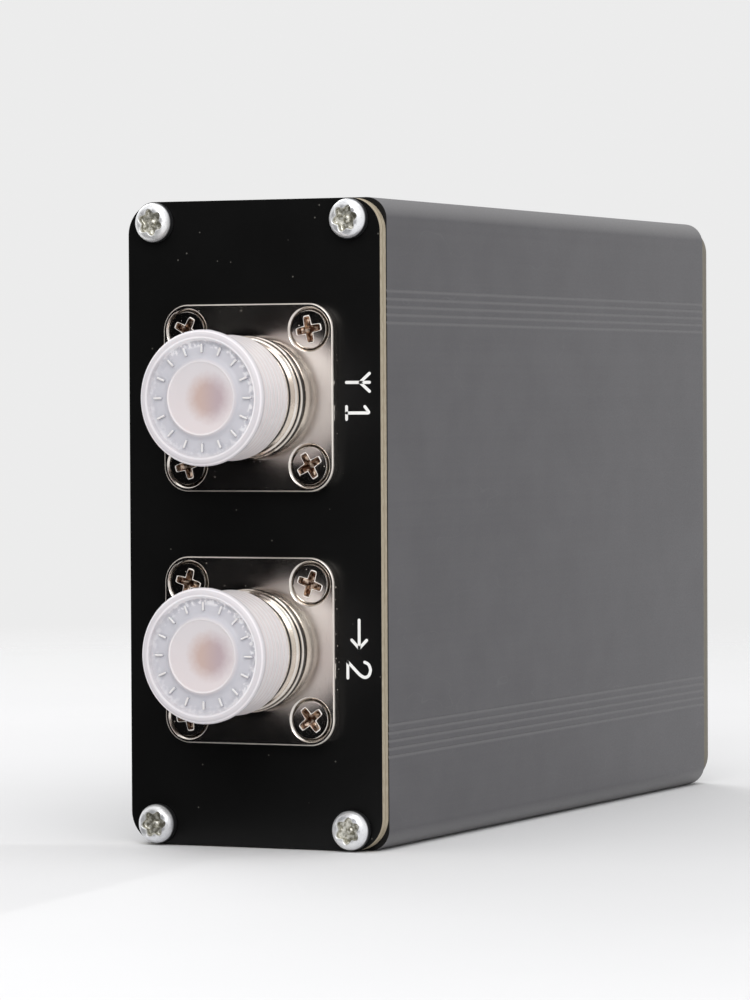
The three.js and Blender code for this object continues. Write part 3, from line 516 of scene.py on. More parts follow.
def zinc_finish():
    """Bright zinc plating: pale and slightly cloudy, with fine drawn marks, and dull olive grey in
    the recesses of the panel screws, within 1.95 mm of an axis and below the crown. The lower
    half of such a head's side is painted dark, a painted reflection of the black panel."""
    finish, shader, place = new_finish("zinc_plated", (226, 228, 231), 0.36, 0.7)
    x, y, z = millimetres(place)
    radius = hypot(abs(x) - PORT_X, abs(z - MID_HEIGHT) - (MID_HEIGHT - PORT_DROP))
    proud = abs(y - 0.5 * (PANEL_FACE + CONTROL_FACE)) - 0.5 * (CONTROL_FACE - PANEL_FACE)
    sunk = (radius < 1.95) * between(proud, 1.85, 1.6)
    # painted reflection: the lower half of a head's side is painted dark, for the black panel
    # mirrored in it
    foot = (radius < 2.9) * between(proud, 1.25, 1.0)
    fine, clouds = grouped(GRAIN, place, Scale=6000.0)
    pitted = noise(place, 2400.0, 3.0)
    marks, = grouped(MARKS, place, Scale=1400.0, Width=0.012)
    floor = layered((136, 133, 118), (between(pitted, 0.4, 0.6), (226, 224, 214)))
    shade = layered((234, 235, 238), (clouds, (246, 246, 246)), (marks * 0.2, (150, 150, 155)),
                    (foot, (62, 62, 64)), (sunk, floor))
    coat(shader, shade, between(clouds, 0, 1, 0.3, 0.42), fine * 0.1 + pitted * sunk, 0.05)
    return finish


def nickel_finish(name, tarnished):
    """Bright nickel plating: a warm mirror with faint smears and hairline marks. Where tarnished,
    it is brown and duller from 0.1 mm below the flange face, which is inside a screw's recess,
    with pale painted glints mottled through the brown, and pale on the burr that stands proud
    of that face, a painted highlight along the recess's raised edge. Elsewhere the undercuts
    along the barrel are painted dark, a painted shade, and the bevel round a flange is duller:
    there the distance from its rounded square is over 3.42."""
    finish, shader, place = new_finish(name, (226, 218, 210), 0.12, 1.0)
    x, y, z = millimetres(place)
    depth = y - FLANGE_FACE
    fine, clouds = grouped(GRAIN, place, Scale=5000.0)
    marks, = grouped(MARKS, stretched(place, 1, 1, 0.2), Scale=900.0, Width=0.004)
    dust, = grouped(SPECKS, place, Scale=2200.0, Size=0.3, Share=0.05)
    shade = layered((222, 213, 206), (clouds, (236, 230, 222)), (marks * 0.18, (150, 140, 132)))
    gloss = between(clouds, 0, 1, 0.06, 0.13) + dust * 0.6
    if tarnished:
        below = between(depth, 0.1, 0.5)
        # painted highlight: the burr proud of the flange face is painted pale and less metallic
        burr = between(depth, 0.02, -0.01)
        # brown tarnish in the recess, mottled with pale painted glints
        stain_and_glints = between(noise(place, 1600.0, 2.0), 0.45, 0.6)
        shade = layered(shade, (below, layered((86, 58, 43), (stain_and_glints, (246, 224, 204)))),
                        (burr, (248, 243, 238)))
        gloss = gloss + between(below, 0, 1, 0.03, 0.24) + burr * 0.4
        feed(shader, {"Metallic": between(burr, 0, 1, 1.0, 0.3)})
    else:
        rise = abs(abs(z - MID_HEIGHT) - SOCKET_REACH)
        radius = hypot(x, rise)
        # painted shade: the undercuts along the barrel are painted near black
        for middle, half in [(-3.4, 0.32), (-0.82, 0.32), (-0.1, 0.08)]:
            painted_undercut_shade = between(abs(depth - middle), half + 0.08, half - 0.04)
            shade = layered(shade, (painted_undercut_shade * (radius < 8.45), (30, 27, 25)))
        flat = FLANGE_HALF - FLANGE_CORNER
        corner = hypot(calc("MAXIMUM", abs(x) - flat, 0.0), calc("MAXIMUM", rise - flat, 0.0))
        bevel = (corner > 3.42) * (depth < 0.3)
        gloss = gloss + bevel * 0.3 + between(radius, 8.5, 9.5, 0.0, 0.09)
    coat(shader, shade, gloss, fine, 0.0015)
    return finish


def milky_finish():
    """Soft milky polythene. Its colour follows the distance from the nearer cap's axis and the
    depth out of the flange: a painted brown spot in the middle, a painted show-through of the
    contact close behind, set 1.2 mm off the axis in x; over the disc, warmer and lighter towards
    the bottom; cool in the ribbed ring, with painted flecks, pale and dark, of reflection and
    shade; painted highlights on the lip's edges, the rib tops, the disc's edge and the lip's inner
    wall; and fine lines along the skirt where the thread touches it. The painted light follows a
    light from the upper right."""
    finish, shader, place = new_finish(
        "milky_plastic", (240, 236, 236), 0.32, 0.0, Transmission_Weight=0.15, IOR=1.35,
        Subsurface_Weight=0.4, Subsurface_Radius=(1.0, 0.9, 0.85), Subsurface_Scale=0.0006)
    fine, clouds = grouped(GRAIN, place, Scale=2600.0)
    flecks = grouped(GRAIN, place, Scale=1500.0)[0]
    x, y, z = millimetres(place)
    depth = FLANGE_FACE - y
    from_middle = z - MID_HEIGHT
    centre = abs(from_middle) - SOCKET_REACH
    rise = centre * calc("SIGN", from_middle)
    radius = hypot(x, centre)

    def band(middle, reach):
        return between(abs(radius - middle), reach * 0.5, reach, 1.0, 0.0)

    upper_right = between(x + rise, -3, 3)
    front = between(depth, 13.0, 13.3)
    behind_lip = between(depth, 13.2, 12.6)
    # painted highlights: thin pale lines along the lip's edges
    lip_edge_highlights = calc("MAXIMUM", band(8.05, 0.16) * 0.6, band(8.84, 0.12))
    skirt_lines = between(calc("COSINE", y * (TURN / THREAD_PITCH)), 0.2, 1.0, 0.0, 0.6)
    disc = between(radius, 5.3, 4.7)
    # painted highlight along the disc's edge, strongest at the lower left
    disc_edge_highlight = band(4.85, 0.12) * between(upper_right, 0, 1, 1.0, 0.1)
    disc_shade = layered((227, 218, 219), (between(rise, -4, 4), (217, 212, 214)))
    ring = between(radius, 7.9, 7.3) * (1.0 - disc)
    # painted flecks, pale and dark, of reflection and shade in the ring, strongest on the upper
    # right
    painted_fleck_band = band(7.35, 0.7) * between(upper_right, 0, 1, 0.3, 1.0) * front
    # painted highlights on the rib tops
    rib_top_highlights = band(6.6, 0.9) * between(depth, 13.78, 13.86)
    # painted show-through: a brown spot where the contact shows from close behind, set 1.2 mm off
    # the axis in x
    contact_show_through = between(hypot(x - 1.2, centre) + flecks * 0.9, 2.1, 4.1, 0.85, 0.0)
    spot_shade = layered((199, 172, 162), (between(x, 0, 2.4), (184, 163, 168)))
    shade = layered(
        (212, 208, 212), (clouds, (219, 215, 218)), (lip_edge_highlights * front, (240, 236, 239)),
        (behind_lip, (247, 241, 242)), (skirt_lines * (1.0 - front), (226, 209, 208)),
        (ring * front, (206, 205, 211)),
        (painted_fleck_band * between(flecks, 0.47, 0.42, 0.0, 0.5), (176, 176, 184)),
        (painted_fleck_band * between(flecks, 0.53, 0.58, 0.0, 0.8), (246, 244, 246)),
        # painted light: the lip's inner wall is painted paler on the upper right, over the shade
        # that falls there
        (band(7.88, 0.3) * upper_right * front, (255, 251, 254)), (rib_top_highlights, (234, 231, 229)),
        (disc * front, disc_shade), (disc_edge_highlight * front, (240, 234, 235)),
        (contact_show_through * front, spot_shade))
    coat(shader, shade, between(fine, 0.3, 0.7, 0.28, 0.36), fine, 0.004)
    return finish


def laminate_finish():
    """Green solder mask over copper: paler pours, straight traces and small plated holes."""
    finish, shader, place = new_finish("board_laminate", (16, 62, 40), 0.38)
    fine, clouds = grouped(GRAIN, place, Scale=3000.0)
    cell = signal(place.tree, "TexVoronoi", {"Vector": stretched(place, 1, 0.2, 1), "Scale": 420.0},
                  "Distance", distance="CHEBYCHEV")
    trace = abs(cell - 0.42) < 0.05
    vias, = grouped(SPECKS, place, Scale=420.0, Size=0.28, Share=0.22)
    shade = layered((14, 58, 37), (clouds, (18, 68, 44)), (trace, (34, 96, 62)),
                    (vias, (196, 190, 168)))
    feed(shader, {"Metallic": vias})
    coat(shader, shade, between(fine, 0.3, 0.7, 0.32, 0.42), calc("MAXIMUM", trace, vias), 0.02)
    return finish


def plain_finish(name, slot, dark, light, roughness, scale=3000.0, relief=0.006, metallic=0.0,
                 **sockets):
    """A moulded or coated surface: two shades in clouds, and grain in its relief and gloss."""
    finish, shader, place = new_finish(name, dark, roughness, metallic, **sockets)
    fine, clouds = grouped(GRAIN, place, Scale=scale)
    coat(shader, layered(dark, (clouds, light)),
         between(fine, 0.3, 0.7, roughness * 0.85, roughness * 1.15), fine, relief)
    return finish, slot


# Finishes: each is a material and the model's slot that it stands for

ANODISED = anodised_finish(), "case_anodised"
CONNECTOR_BOARD = panel_finish("connector_panel_board", PANEL_FACE, CASE_START,
                               (150, 138, 118), (184, 174, 154)), "panel_black"
CONTROL_BOARD = panel_finish("control_panel_board", CONTROL_FACE, CASE_END,
                             (116, 112, 104), (132, 128, 119)), "panel_black"
ZINC = zinc_finish(), "zinc_plated"
NICKEL = nickel_finish("bright_nickel", False), "bright_nickel"
SCREW_NICKEL = nickel_finish("screw_nickel", True), "bright_nickel"
MILKY = milky_finish(), "milky_plastic"
LAMINATE = laminate_finish(), "board_laminate"
INSULATION = plain_finish("socket_insulation", "socket_insulation", (226, 220, 208),
                          (238, 233, 224), 0.45, Subsurface_Weight=0.2, Subsurface_Scale=0.001)
CONTACT = plain_finish("contact_plating", "contact_plating", (120, 66, 48), (150, 92, 62), 0.35,
                       metallic=0.6)
INK = plain_finish("white_ink", None, (226, 226, 224), (240, 240, 238), 0.5, 6000.0)
BLACK_PLASTIC = plain_finish("control_plastic", "control_black", (20, 20, 22), (27, 27, 29),
                             0.42, 2600.0, 0.012)
COMPONENT = plain_finish("component_plastic", "component_black", (21, 22, 24), (29, 30, 32),
                         0.5, 2600.0, 0.015)
TINNED = plain_finish("tinned_metal", "zinc_plated", (186, 186, 184), (214, 214, 210),
                      0.28, 5000.0, 0.003, 1.0)
COPPER = plain_finish("enamelled_copper", "bare_copper", (168, 82, 40), (196, 104, 56),
                      0.3, 4000.0, 0.004, 0.9, Coat_Weight=0.6, Coat_Roughness=0.1)
CORE = plain_finish("painted_core", "powder_core", (150, 34, 28), (172, 48, 38), 0.5, 2200.0, 0.02)
FERRITE = plain_finish("ferrite", "ferrite", (52, 52, 54), (66, 66, 67), 0.6, 3400.0, 0.02)
WIRE = plain_finish("wire_sleeve", "lead_insulation", (172, 26, 24), (190, 36, 32),
                    0.4, 3000.0, 0.005)
CERAMIC = plain_finish("capacitor_coat", "powder_core", (176, 112, 32), (196, 132, 44),
                       0.35, 1800.0, 0.02)
LENS = plain_finish("lamp_lens", "lamp_green", (96, 170, 104), (116, 186, 120), 0.2, 2400.0, 0.003,
                    Transmission_Weight=0.35, IOR=1.45)
DISPLAY_GLASS = plain_finish("display_glass", "display_glass", (9, 10, 12), (12, 13, 16),
                             0.06, 900.0, 0.0006, Coat_Weight=0.5)
WINDOW, _ = plain_finish("clear_window", None, (238, 242, 243), (244, 247, 247), 0.05, 1200.0,
                         0.0006, Transmission_Weight=0.95, IOR=1.49)


def own_material(node, finish):
    """A better finish on a solid of the model whose shape is right."""
    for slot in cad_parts[node].material_slots:
        slot.material = finish


# Case

def groove_profile(centre):
    """One groove down the wide face: a long lower wall that faces up a little, a short upper wall
    and rounded edges."""
    points = [(0, -0.42), (0, -0.3), (0.08, 0.08), (0.08, 0.18), (0, 0.27), (0, 0.38)]
    return softened(points, 0.05, 3) * (-1, 1) + (HALF_WIDTH, centre)


def port_profile():
    """A screw port's inner edge at the top corner: a round wall, open at 45 degrees, round a
    core."""
    z = CASE_HEIGHT - PORT_DROP
    outer, core, slot = 2.6, 1.45, 0.8
    spread, narrow = math.asin(slot / core) / TURN, math.asin(slot / outer) / TURN
    return np.concatenate([
        [(12.0, CASE_HEIGHT - 1.5)],
        arc(PORT_X, z, outer, 0.5, 0.625 - narrow, 6),
        arc(PORT_X, z, core, 0.625 - spread, -0.375 + spread, 28),
        arc(PORT_X, z, outer, 0.625 + narrow, 0.75, 6),
        [(17.5, z - outer)],
    ])


def case_profile():
    """Outline of the right half in x and z, anticlockwise: the outer skin with its grooves, the
    tongue, the slot ribs and the screw ports, and the rebate."""
    corner = HALF_WIDTH - CASE_CORNER
    grooves = [MID_HEIGHT + side * GROOVE_REACH + (i - 2) * GROOVE_PITCH
               for side in (-1, 1) for i in range(5)]
    ribs = softened([(2.9, 86.5), (2.9, 84.3), (4.1, 84.3), (4.1, 86.5), (5.9, 86.5), (5.9, 84.3),
                     (7.1, 84.3), (7.1, 86.5)], 0.15, 2)
    upper = np.concatenate([ribs, port_profile()])
    lower = (upper * (1, -1) + (0, CASE_HEIGHT))[::-1]
    return np.concatenate([
        [(0.05, 0.0)],
        arc(corner, CASE_CORNER, CASE_CORNER, 0.75, 1, 16),
        *[groove_profile(groove) for groove in grooves],
        arc(corner, CASE_HEIGHT - CASE_CORNER, CASE_CORNER, 0, 0.25, 16),
        [(0.05, 88.0), (0.05, 87.15), (-1.5, 87.15), (-1.5, 86.5)],
        upper, lower,
        [(1.6, 1.5), (1.6, 0.75), (0.05, 0.75)],
    ])


right_half = carried([case_profile()], CASE_START, CASE_END, 0.07)
left_half = [(points * (-1, 1, -1) + (0, 0, CASE_HEIGHT), faces) for points, faces in right_half]
piece("case_half_right_shell", right_half, ANODISED, "case_half_right", smooth=28)
piece("case_half_left_shell", left_half, ANODISED, "case_half_left", smooth=28)


# End panels

def end_panel(low, high, holes):
    outline = rounded_box(PANEL_INSET - HALF_WIDTH, HALF_WIDTH - PANEL_INSET, PANEL_INSET,
                          CASE_HEIGHT - PANEL_INSET, PANEL_CORNER, 20)
    screw_holes = [hole(x, z, 1.55, 32) for x, z in PANEL_SCREW_PLACES]
    return carried([outline, *screw_holes, *holes], low, high, 0.05)


socket_holes = [cut for height in SOCKET_HEIGHTS.values() for cut in
                [hole(0, height, 7.9, 64),
                 *[hole(x, height + z, 1.55, 32) for x, z in FLANGE_SCREW_OFFSETS]]]
piece("connector_panel_plate", end_panel(PANEL_FACE, CASE_START, socket_holes), CONNECTOR_BOARD,
      "connector_panel", smooth=40)


# Screws

SCREW_SIDES = 144
SCREW_TURNS = {"connector_panel": [12, 40, 25, 5], "control_panel": [20, 50, 8, 33],
               "antenna": [11, 64, 30, 15], "transmitter": [71, 75, 38, 10]}


def lobed(angle, reach, valley=0.74):
    """Six lobes: reach times a smooth step between 1 at a lobe and the valley's share."""
    wave = 0.5 + 0.5 * np.cos(6 * angle)
    return reach * (valley + (1 - valley) * wave**0.8)


def crossed(angle, reach, half_width):
    """A cross: the nearer of an arm's end and its side, smoothed where they meet."""
    end = reach / np.cos(folded(angle))
    side = half_width / np.maximum(np.sin(folded(angle)), 1e-3)
    return (end**-7 + side**-7) ** (-1 / 7)


def threaded_shank(angle, depth, fade, least):
    """Rows of a threaded shank that ends at a depth of 8. Over the last part, as long as fade, its
    radius shrinks to the share called least."""
    depth = depth[:, None]
    ridge = 0.5 + 0.5 * np.cos(TURN * depth / SCREW_PITCH - angle)
    radius = (1.25 - 0.2 * ridge) * np.clip((8 - depth) / fade, least, 1)
    return [*zip(radius, depth), (0, 8)]


def pan_head_screw(x, z, face, out, turn):
    """Dished pan head with a drafted six-lobe recess, on a threaded shank."""
    angle = angles(SCREW_SIDES)
    rim = lobed(angle, 1.84)
    head = softened([(1.25, 0.0), (2.6, 0.0), (2.71, 0.16), (2.71, 0.95), (2.42, 1.62),
                     (2.05, 1.92)], 0.24, 3)
    rows = [*head, (rim + 0.09, 2.0), (rim + 0.02, 1.97), (rim - 0.02, 1.86), (rim * 0.92, 1.2),
            (rim * 0.85, 1.14), (0.6, 1.08), (0.42, 1.3), (0.2, 1.42), (0, 1.44)]
    shank = threaded_shank(-angle, np.linspace(0, 8, 81), 0.8, 0.35)
    rows = [*rows[::-1], *[(radius, -depth) for radius, depth in shank]]
    return turned(rows, SCREW_SIDES, face, out, x, z, turn)


def countersunk_screw(x, z, face, turn):
    """Flat head with a small edge land, a drafted cross recess deepest in the middle, a burr
    round the recess and a threaded shank."""
    angle = angles(SCREW_SIDES)
    rim = crossed(angle, 1.72, 0.46)
    rows = [(0, 1.15), (rim * 0.5, 1.08), (rim * 0.84, 0.85), (rim * 0.97, 0.16),
            (rim + 0.01, 0.06), (rim + 0.06, -0.03), (rim + 0.15, -0.03), (rim + 0.21, 0.05),
            (rim + 0.25, 0.05), (2.38, 0.05), (2.44, 0.05), (2.56, 0.09), (2.62, 0.2),
            (2.62, 0.3), (1.27, 1.72),
            *threaded_shank(angle, np.linspace(1.8, 8, 62), 0.5, 0.6)]
    return turned(rows, SCREW_SIDES, face, 1, x, z, turn)


for i, (x, z) in enumerate(PANEL_SCREW_PLACES):
    for panel, face, out in [("connector_panel", PANEL_FACE, -1),
                             ("control_panel", CONTROL_FACE, 1)]:
        turn = math.radians(SCREW_TURNS[panel][i])
        piece(f"{panel}_screw_{i + 1}_pan", pan_head_screw(x, z, face, out, turn), ZINC,
              f"{panel}_screw_{i + 1}", smooth=38)


# Sockets. A height is out of the flange face into the case, and negative towards the open end.

BARREL_TIP = -12.5
THREAD_RADIUS = 7.94


def flange_plate(height):
    """Square plate with a bright bevel, countersunk screw holes and a middle hole."""
    outline = rounded_box(-FLANGE_HALF, FLANGE_HALF, height - FLANGE_HALF, height + FLANGE_HALF,
                          FLANGE_CORNER, 16)
    level = FLANGE_FACE + np.array([0, 0.03, 0.1, 0.2, 1.0, 1.6, 1.76, 1.8])
    inset = np.array([0.18, 0.12, 0.04, 0.0, 0.0, 0.0, 0.03, 0.1])[:, None, None]
    radii = [3.1, 3.05, 2.98, 2.88, 2.1, 1.55, 1.55, 1.6]
    return filled([(outline[None] + inset * into_material(outline)[None], level),
                   sunk_hole(0, height, [7.0] * len(level), level),
                   *[sunk_hole(x, height + z, radii, level) for x, z in FLANGE_SCREW_OFFSETS]])


def threaded_barrel(height, sides=144):
    """Closed ring: bore, notched rim, a 24-to-the-inch helical thread, relief, neck, collar and
    hub. The thread's depth is 0.5 times a rounded V of y / pitch plus the turn."""
    notch = (folded(angles(sides)) < 0.076) * 0.7
    inner = softened([(6.4, 5.8), (6.4, BARREL_TIP + 0.25), (6.65, BARREL_TIP), (7.35, BARREL_TIP)],
                     0.08, 2)
    y = np.linspace(BARREL_TIP + 0.06, -4.22, 80)[:, None]
    saw = (y / THREAD_PITCH + angles(sides) / TURN) % 1
    vee = np.clip(np.abs(saw - 0.5) * 2.6 - 0.15, 0, 1)
    fade = np.clip(np.minimum((y - BARREL_TIP) / 0.9, (-4.0 - y) / 0.5), 0, 1)
    crown = THREAD_RADIUS - 0.55 * np.clip(1 - (y - BARREL_TIP) / 0.55, 0, 1)
    outer = softened([(7.75, -4.2), (7.95, -3.95), (7.95, -3.7), (7.83, -3.6), (7.83, -3.15),
                      (7.95, -3.05), (7.95, -1.75), (8.2, -1.55), (8.2, -1.15), (8.08, -1.08),
                      (8.08, -0.56), (8.2, -0.48), (8.2, -0.34), (8.42, -0.12), (8.42, 0.4),
                      (7.6, 0.4), (7.6, 5.8), (6.4, 5.8)], 0.06, 2)
    rows = [*[(radius, level + notch * (level < BARREL_TIP + 0.3)) for radius, level in inner],
            *zip(crown - 0.42 * vee * fade, np.maximum(y, BARREL_TIP + 0.02 + notch)), *outer]
    return turned(rows, sides, FLANGE_FACE, z=height, closed=True)


def insulator(height):
    """Moulded column inside the barrel, with a stepped foot behind."""
    profile = softened([(3.0, -11.9), (4.7, -11.9), (4.8, -11.7), (4.8, -4.9), (6.1, -4.9),
                        (6.1, 6.8), (2.45, 6.8), (2.45, 4.8), (3.0, 4.8)], 0.12, 2, closed=True)
    return turned(profile, 72, FLANGE_FACE, z=height, closed=True)


def contact(height, sides=96):
    """Slit contact tube with a solder cup behind: outside, rim, bore, and the cup's own bore."""
    slit = (folded(angles(sides)) < 0.11) * 5.0
    outline = softened([(0, 0.0), (2.0, 0.0), (2.0, -12.02), (2.12, -12.1), (2.62, -12.1),
                        (2.75, -11.98), (2.75, 4.55), (2.2, 4.55), (2.2, 13.8), (1.1, 13.8),
                        (1.1, 10.3), (0, 10.3)], 0.05, 2)
    rows = [(radius, level + slit * (level < -11.5)) for radius, level in outline]
    return turned(rows, sides, FLANGE_FACE, z=height)


def dust_cap(height, flash_turn, sides=144):
    """Soft cap: disc, ribbed recess, rim, lip with a rough moulding flash and a skirt that shows
    the thread under it; the inside follows at the wall's thickness."""
    angle = angles(sides)
    rough = np.sin(5 * angle + flash_turn) + np.sin(13 * angle + 2) + np.sin(31 * angle) * 0.7
    flash = np.clip(rough - 1.0, 0, 1) * np.clip(np.cos(angle - 2.6), 0, 1)
    front = softened([(0, -14.2), (4.7, -14.2), (4.85, -14.28), (5.0, -14.2), (5.55, -13.55),
                      (7.3, -13.5), (7.75, -13.7), (7.92, -14.32), (8.02, -14.4), (8.5, -14.4),
                      (8.98, -14.0), (9.06, -13.85)],
                     [0.1, 0.1, 0.1, 0.1, 0.4, 0.3, 0.15, 0.1, 0.1, 0.15, 0.1, 0.1], 3)
    y = np.linspace(-12.75, -5.35, 72)[:, None]
    skirt = 8.42 + 0.018 * np.cos(TURN * y / THREAD_PITCH + angle)
    inside = softened([(8.45, -5.2), (8.38, -5.1), (8.12, -5.1), (8.06, -5.25), (8.06, -12.5),
                       (7.8, -12.8), (5.2, -12.8), (4.3, -12.9), (4.1, -13.5), (0, -13.5)], 0.12, 3)
    rows = [*front, (9.08 + 0.08 * flash, -13.65), (9.06 + 0.12 * flash, -13.4 + 0.12 * flash),
            (8.98, -13.2), (8.7, -13.02), (8.5, -12.9), *zip(skirt, y), *inside]
    rib = carried([rounded_box(6.0, 7.2, -0.14, 0.14, 0.12, 4)], -13.95, -13.35, 0.12)
    return moved(turned(rows, sides) + spun(rib, 16), 0, FLANGE_FACE, height)


for side, height in SOCKET_HEIGHTS.items():
    piece(f"{side}_socket_plated", flange_plate(height) + threaded_barrel(height), NICKEL,
          f"{side}_socket_body", smooth=30)
    piece(f"{side}_insulator_moulded", insulator(height), INSULATION,
          f"{side}_socket_insulator")
    piece(f"{side}_contact_slit", contact(height), CONTACT, f"{side}_socket_contact")
    piece(f"{side}_dust_cap_soft", dust_cap(height, 0.4 if side == "antenna" else 2.2), MILKY,
          f"{side}_dust_cap", f"{side}_cap", smooth=50)
    for i, (x, z) in enumerate(FLANGE_SCREW_OFFSETS):
        turn = math.radians(SCREW_TURNS[side][i])
        piece(f"{side}_flange_screw_{i + 1}_flat",
              countersunk_screw(x, height + z, FLANGE_FACE, turn), SCREW_NICKEL,
              f"{side}_flange_screw_{i + 1}", smooth=38)


# Printed marks: strokes of white ink with round ends

def beside(line):
    """Unit directions along a flat line and to its left."""
    along = np.gradient(line, axis=0)
    along /= np.linalg.norm(along, axis=1, keepdims=True)
    return along, np.stack([-along[:, 1], along[:, 0]], -1)


def stroke(points, half_width, face, out, lift=0.02):
    """A line of ink with round ends: its outline is the line moved half a width to either side,
    closed by half circles, and it stands off the face by lift."""
    line = np.asarray(points, float)
    line = line[np.linalg.norm(np.diff(line, axis=0, prepend=line[:1] - 1), axis=1) > 1e-6]
    along, left = beside(line)
    left = left * half_width
    bend = np.linspace(-QUARTER, QUARTER, 9)[1:-1, None]

    def cap(point, forward, side):
        return point + np.cos(bend) * forward * half_width + np.sin(bend) * side

    outline = np.concatenate([line - left, cap(line[-1], along[-1], left[-1]), (line + left)[::-1],
                              cap(line[0], -along[0], -left[0])])
    low, high = sorted((face - out * 0.01, face + out * lift))
    return filled([wall(outline, low, high, 0.008, 1)])


MARK_LINES = {
    "1": [[(-0.75, 1.0), (0.1, 1.7), (0.1, -1.7)], [(-0.75, -1.7), (0.95, -1.7)]],
    "2": [[(-1.05, 0.8), (-0.8, 1.4), (0, 1.7), (0.8, 1.4), (1.05, 0.8), (0.7, 0.1), (-1.05, -1.7)],
          [(-1.05, -1.7), (1.1, -1.7)]],
    "aerial": [[(0, -1.7), (0, 1.7)], [(-1.2, 1.7), (0, 0.3)], [(1.2, 1.7), (0, 0.3)]],
    "arrow": [[(-1.9, 0), (1.9, 0)], [(0.8, 1.1), (1.9, 0)], [(0.8, -1.1), (1.9, 0)]],
}


def panel_marks(marks):
    """Plain marks read with the panel on its side: their tops are towards +x, and they run down."""
    surfaces = []
    for name, start in marks:
        for line in MARK_LINES[name]:
            along, across = np.asarray(line, float).T
            path = np.stack([15.6 + across, start - along], -1)
            path = softened(path, 0.3, 4) if len(path) > 2 else path
            surfaces += stroke(path, 0.21, PANEL_FACE, -1)
    return surfaces


piece("antenna_marks", panel_marks([("aerial", 63.1), ("1", 59.1)]), INK, smooth=50)
piece("transmitter_marks", panel_marks([("arrow", 29.3), ("2", 24.5)]), INK, smooth=50)


# Control panel, and what is fixed in it

BUTTON_HEIGHT, LAMP_HEIGHT, JACK_HEIGHT, ROCKER_HEIGHT = 25.0, 33.5, 11.5, 76.0
BOARD_FACE, BOARD_BACK = -4.2, -5.8
PIVOT_Y = CONTROL_FACE + 0.4

control_holes = [rounded_box(-6.85, 6.85, 71.65, 80.35, 0.3, 3)[::-1],
                 rounded_box(-6.5, 6.5, 40, 64, 1.0, 8)[::-1], hole(0, LAMP_HEIGHT, 1.8),
                 hole(0, BUTTON_HEIGHT, 3.7, 64), hole(0, JACK_HEIGHT, 5.7, 64)]
piece("control_panel_plate", end_panel(CASE_END, CONTROL_FACE, control_holes), CONTROL_BOARD,
      "control_panel", smooth=40)


def switch_frame():
    """Frame from the cavity's floor up its wall, over the bezel and down the body's outside."""
    rows = [(5.9, 3.3, 0.3, -7.0), (5.9, 3.3, 0.3, 1.75), (5.97, 3.37, 0.35, 1.93),
            (6.15, 3.55, 0.45, 2.0), (7.0, 4.75, 0.85, 2.0), (7.35, 5.1, 1.1, 1.88),
            (7.5, 5.25, 1.2, 1.55), (7.5, 5.25, 1.2, 0.15), (7.42, 5.17, 1.15, 0.0),
            (6.7, 4.2, 0.4, 0.0), (6.7, 4.2, 0.4, -9.75), (6.5, 4.0, 0.3, -10.0)]
    return moved(boxed(0, ROCKER_HEIGHT, rows), y=CONTROL_FACE)


def rocker_dish(x):
    """Height of the rocker's dished face above its pivot: 2.2 + 0.8 (x / 5.3)^2."""
    return 2.2 + 0.8 * (x / 5.3) ** 2


def rocked(surfaces, tip=math.radians(-10)):
    """Surfaces about the rocker's pivot, tipped to its rest position and set at its place."""
    c, s = math.cos(tip), math.sin(tip)
    turn = np.array([[c, s, 0], [-s, c, 0], [0, 0, 1]])
    return [(points @ turn + (0, PIVOT_Y, ROCKER_HEIGHT), faces) for points, faces in surfaces]


def rocker_body():
    x = np.linspace(5.3, -5.3, 34)
    under = softened([(-5.3, 1.5), (-5.3, -0.8), (-1.2, -3.6), (1.2, -3.6), (5.3, -0.8),
                      (5.3, 1.5)], 0.3, 3)
    side = np.concatenate([under, np.stack([x, rocker_dish(x)], -1)])
    pins = carried([arc(0, 0, 0.8, 0, 1, 24)[:-1]], -3.25, 3.25, 0.05, axis="z")
    return rocked(carried([side], -3.0, 3.0, 0.35, axis="z", steps=4) + pins)


def rocker_marks():
    """A plain 1 and 0 laid on the dished face."""
    bar = stroke([(3.3, -1.15), (3.3, 0), (3.3, 1.15)], 0.24, 0, 1, 0.04)
    ring = carried([arc(-3.2, 0, 1.25, 0, 1, 40)[:-1], hole(-3.2, 0, 0.8, 40)], -0.02, 0.04,
                   0.008)
    return rocked([(points + rocker_dish(points[:, :1]) * (0, 1, 0), faces)
                   for points, faces in bar + ring])


piece("power_switch_frame_moulded", switch_frame(), BLACK_PLASTIC, "power_switch_frame")
piece("power_rocker_dished", rocker_body(), BLACK_PLASTIC, "power_rocker", "power_key")
piece("power_rocker_marks", rocker_marks(), INK, body="power_key", smooth=50)
blade = boxed(0, ROCKER_HEIGHT, [(0.3, 1.2, 0.1, 52.4), (0.4, 1.4, 0.1, 53.0),
                                 (0.4, 1.4, 0.1, 58.0)])
piece("power_switch_blades", moved(blade, -3.6) + moved(blade, 3.6), TINNED)


def tune_key():
    """Dished button with a stop collar, and its square stem."""
    cap = softened([(0, 65.05), (4.1, 65.05), (4.1, 65.65), (3.4, 65.65), (3.4, 71.9),
                    (3.05, 72.35), (2.6, 72.3), (2.3, 72.12), (0, 72.0)], 0.18, 3)
    stem = [(1.4, 1.4, 0.2, 56.85), (1.6, 1.6, 0.2, 57.05), (1.6, 1.6, 0.2, 65.3)]
    return turned(cap, 72, z=BUTTON_HEIGHT) + boxed(0, BUTTON_HEIGHT, stem)


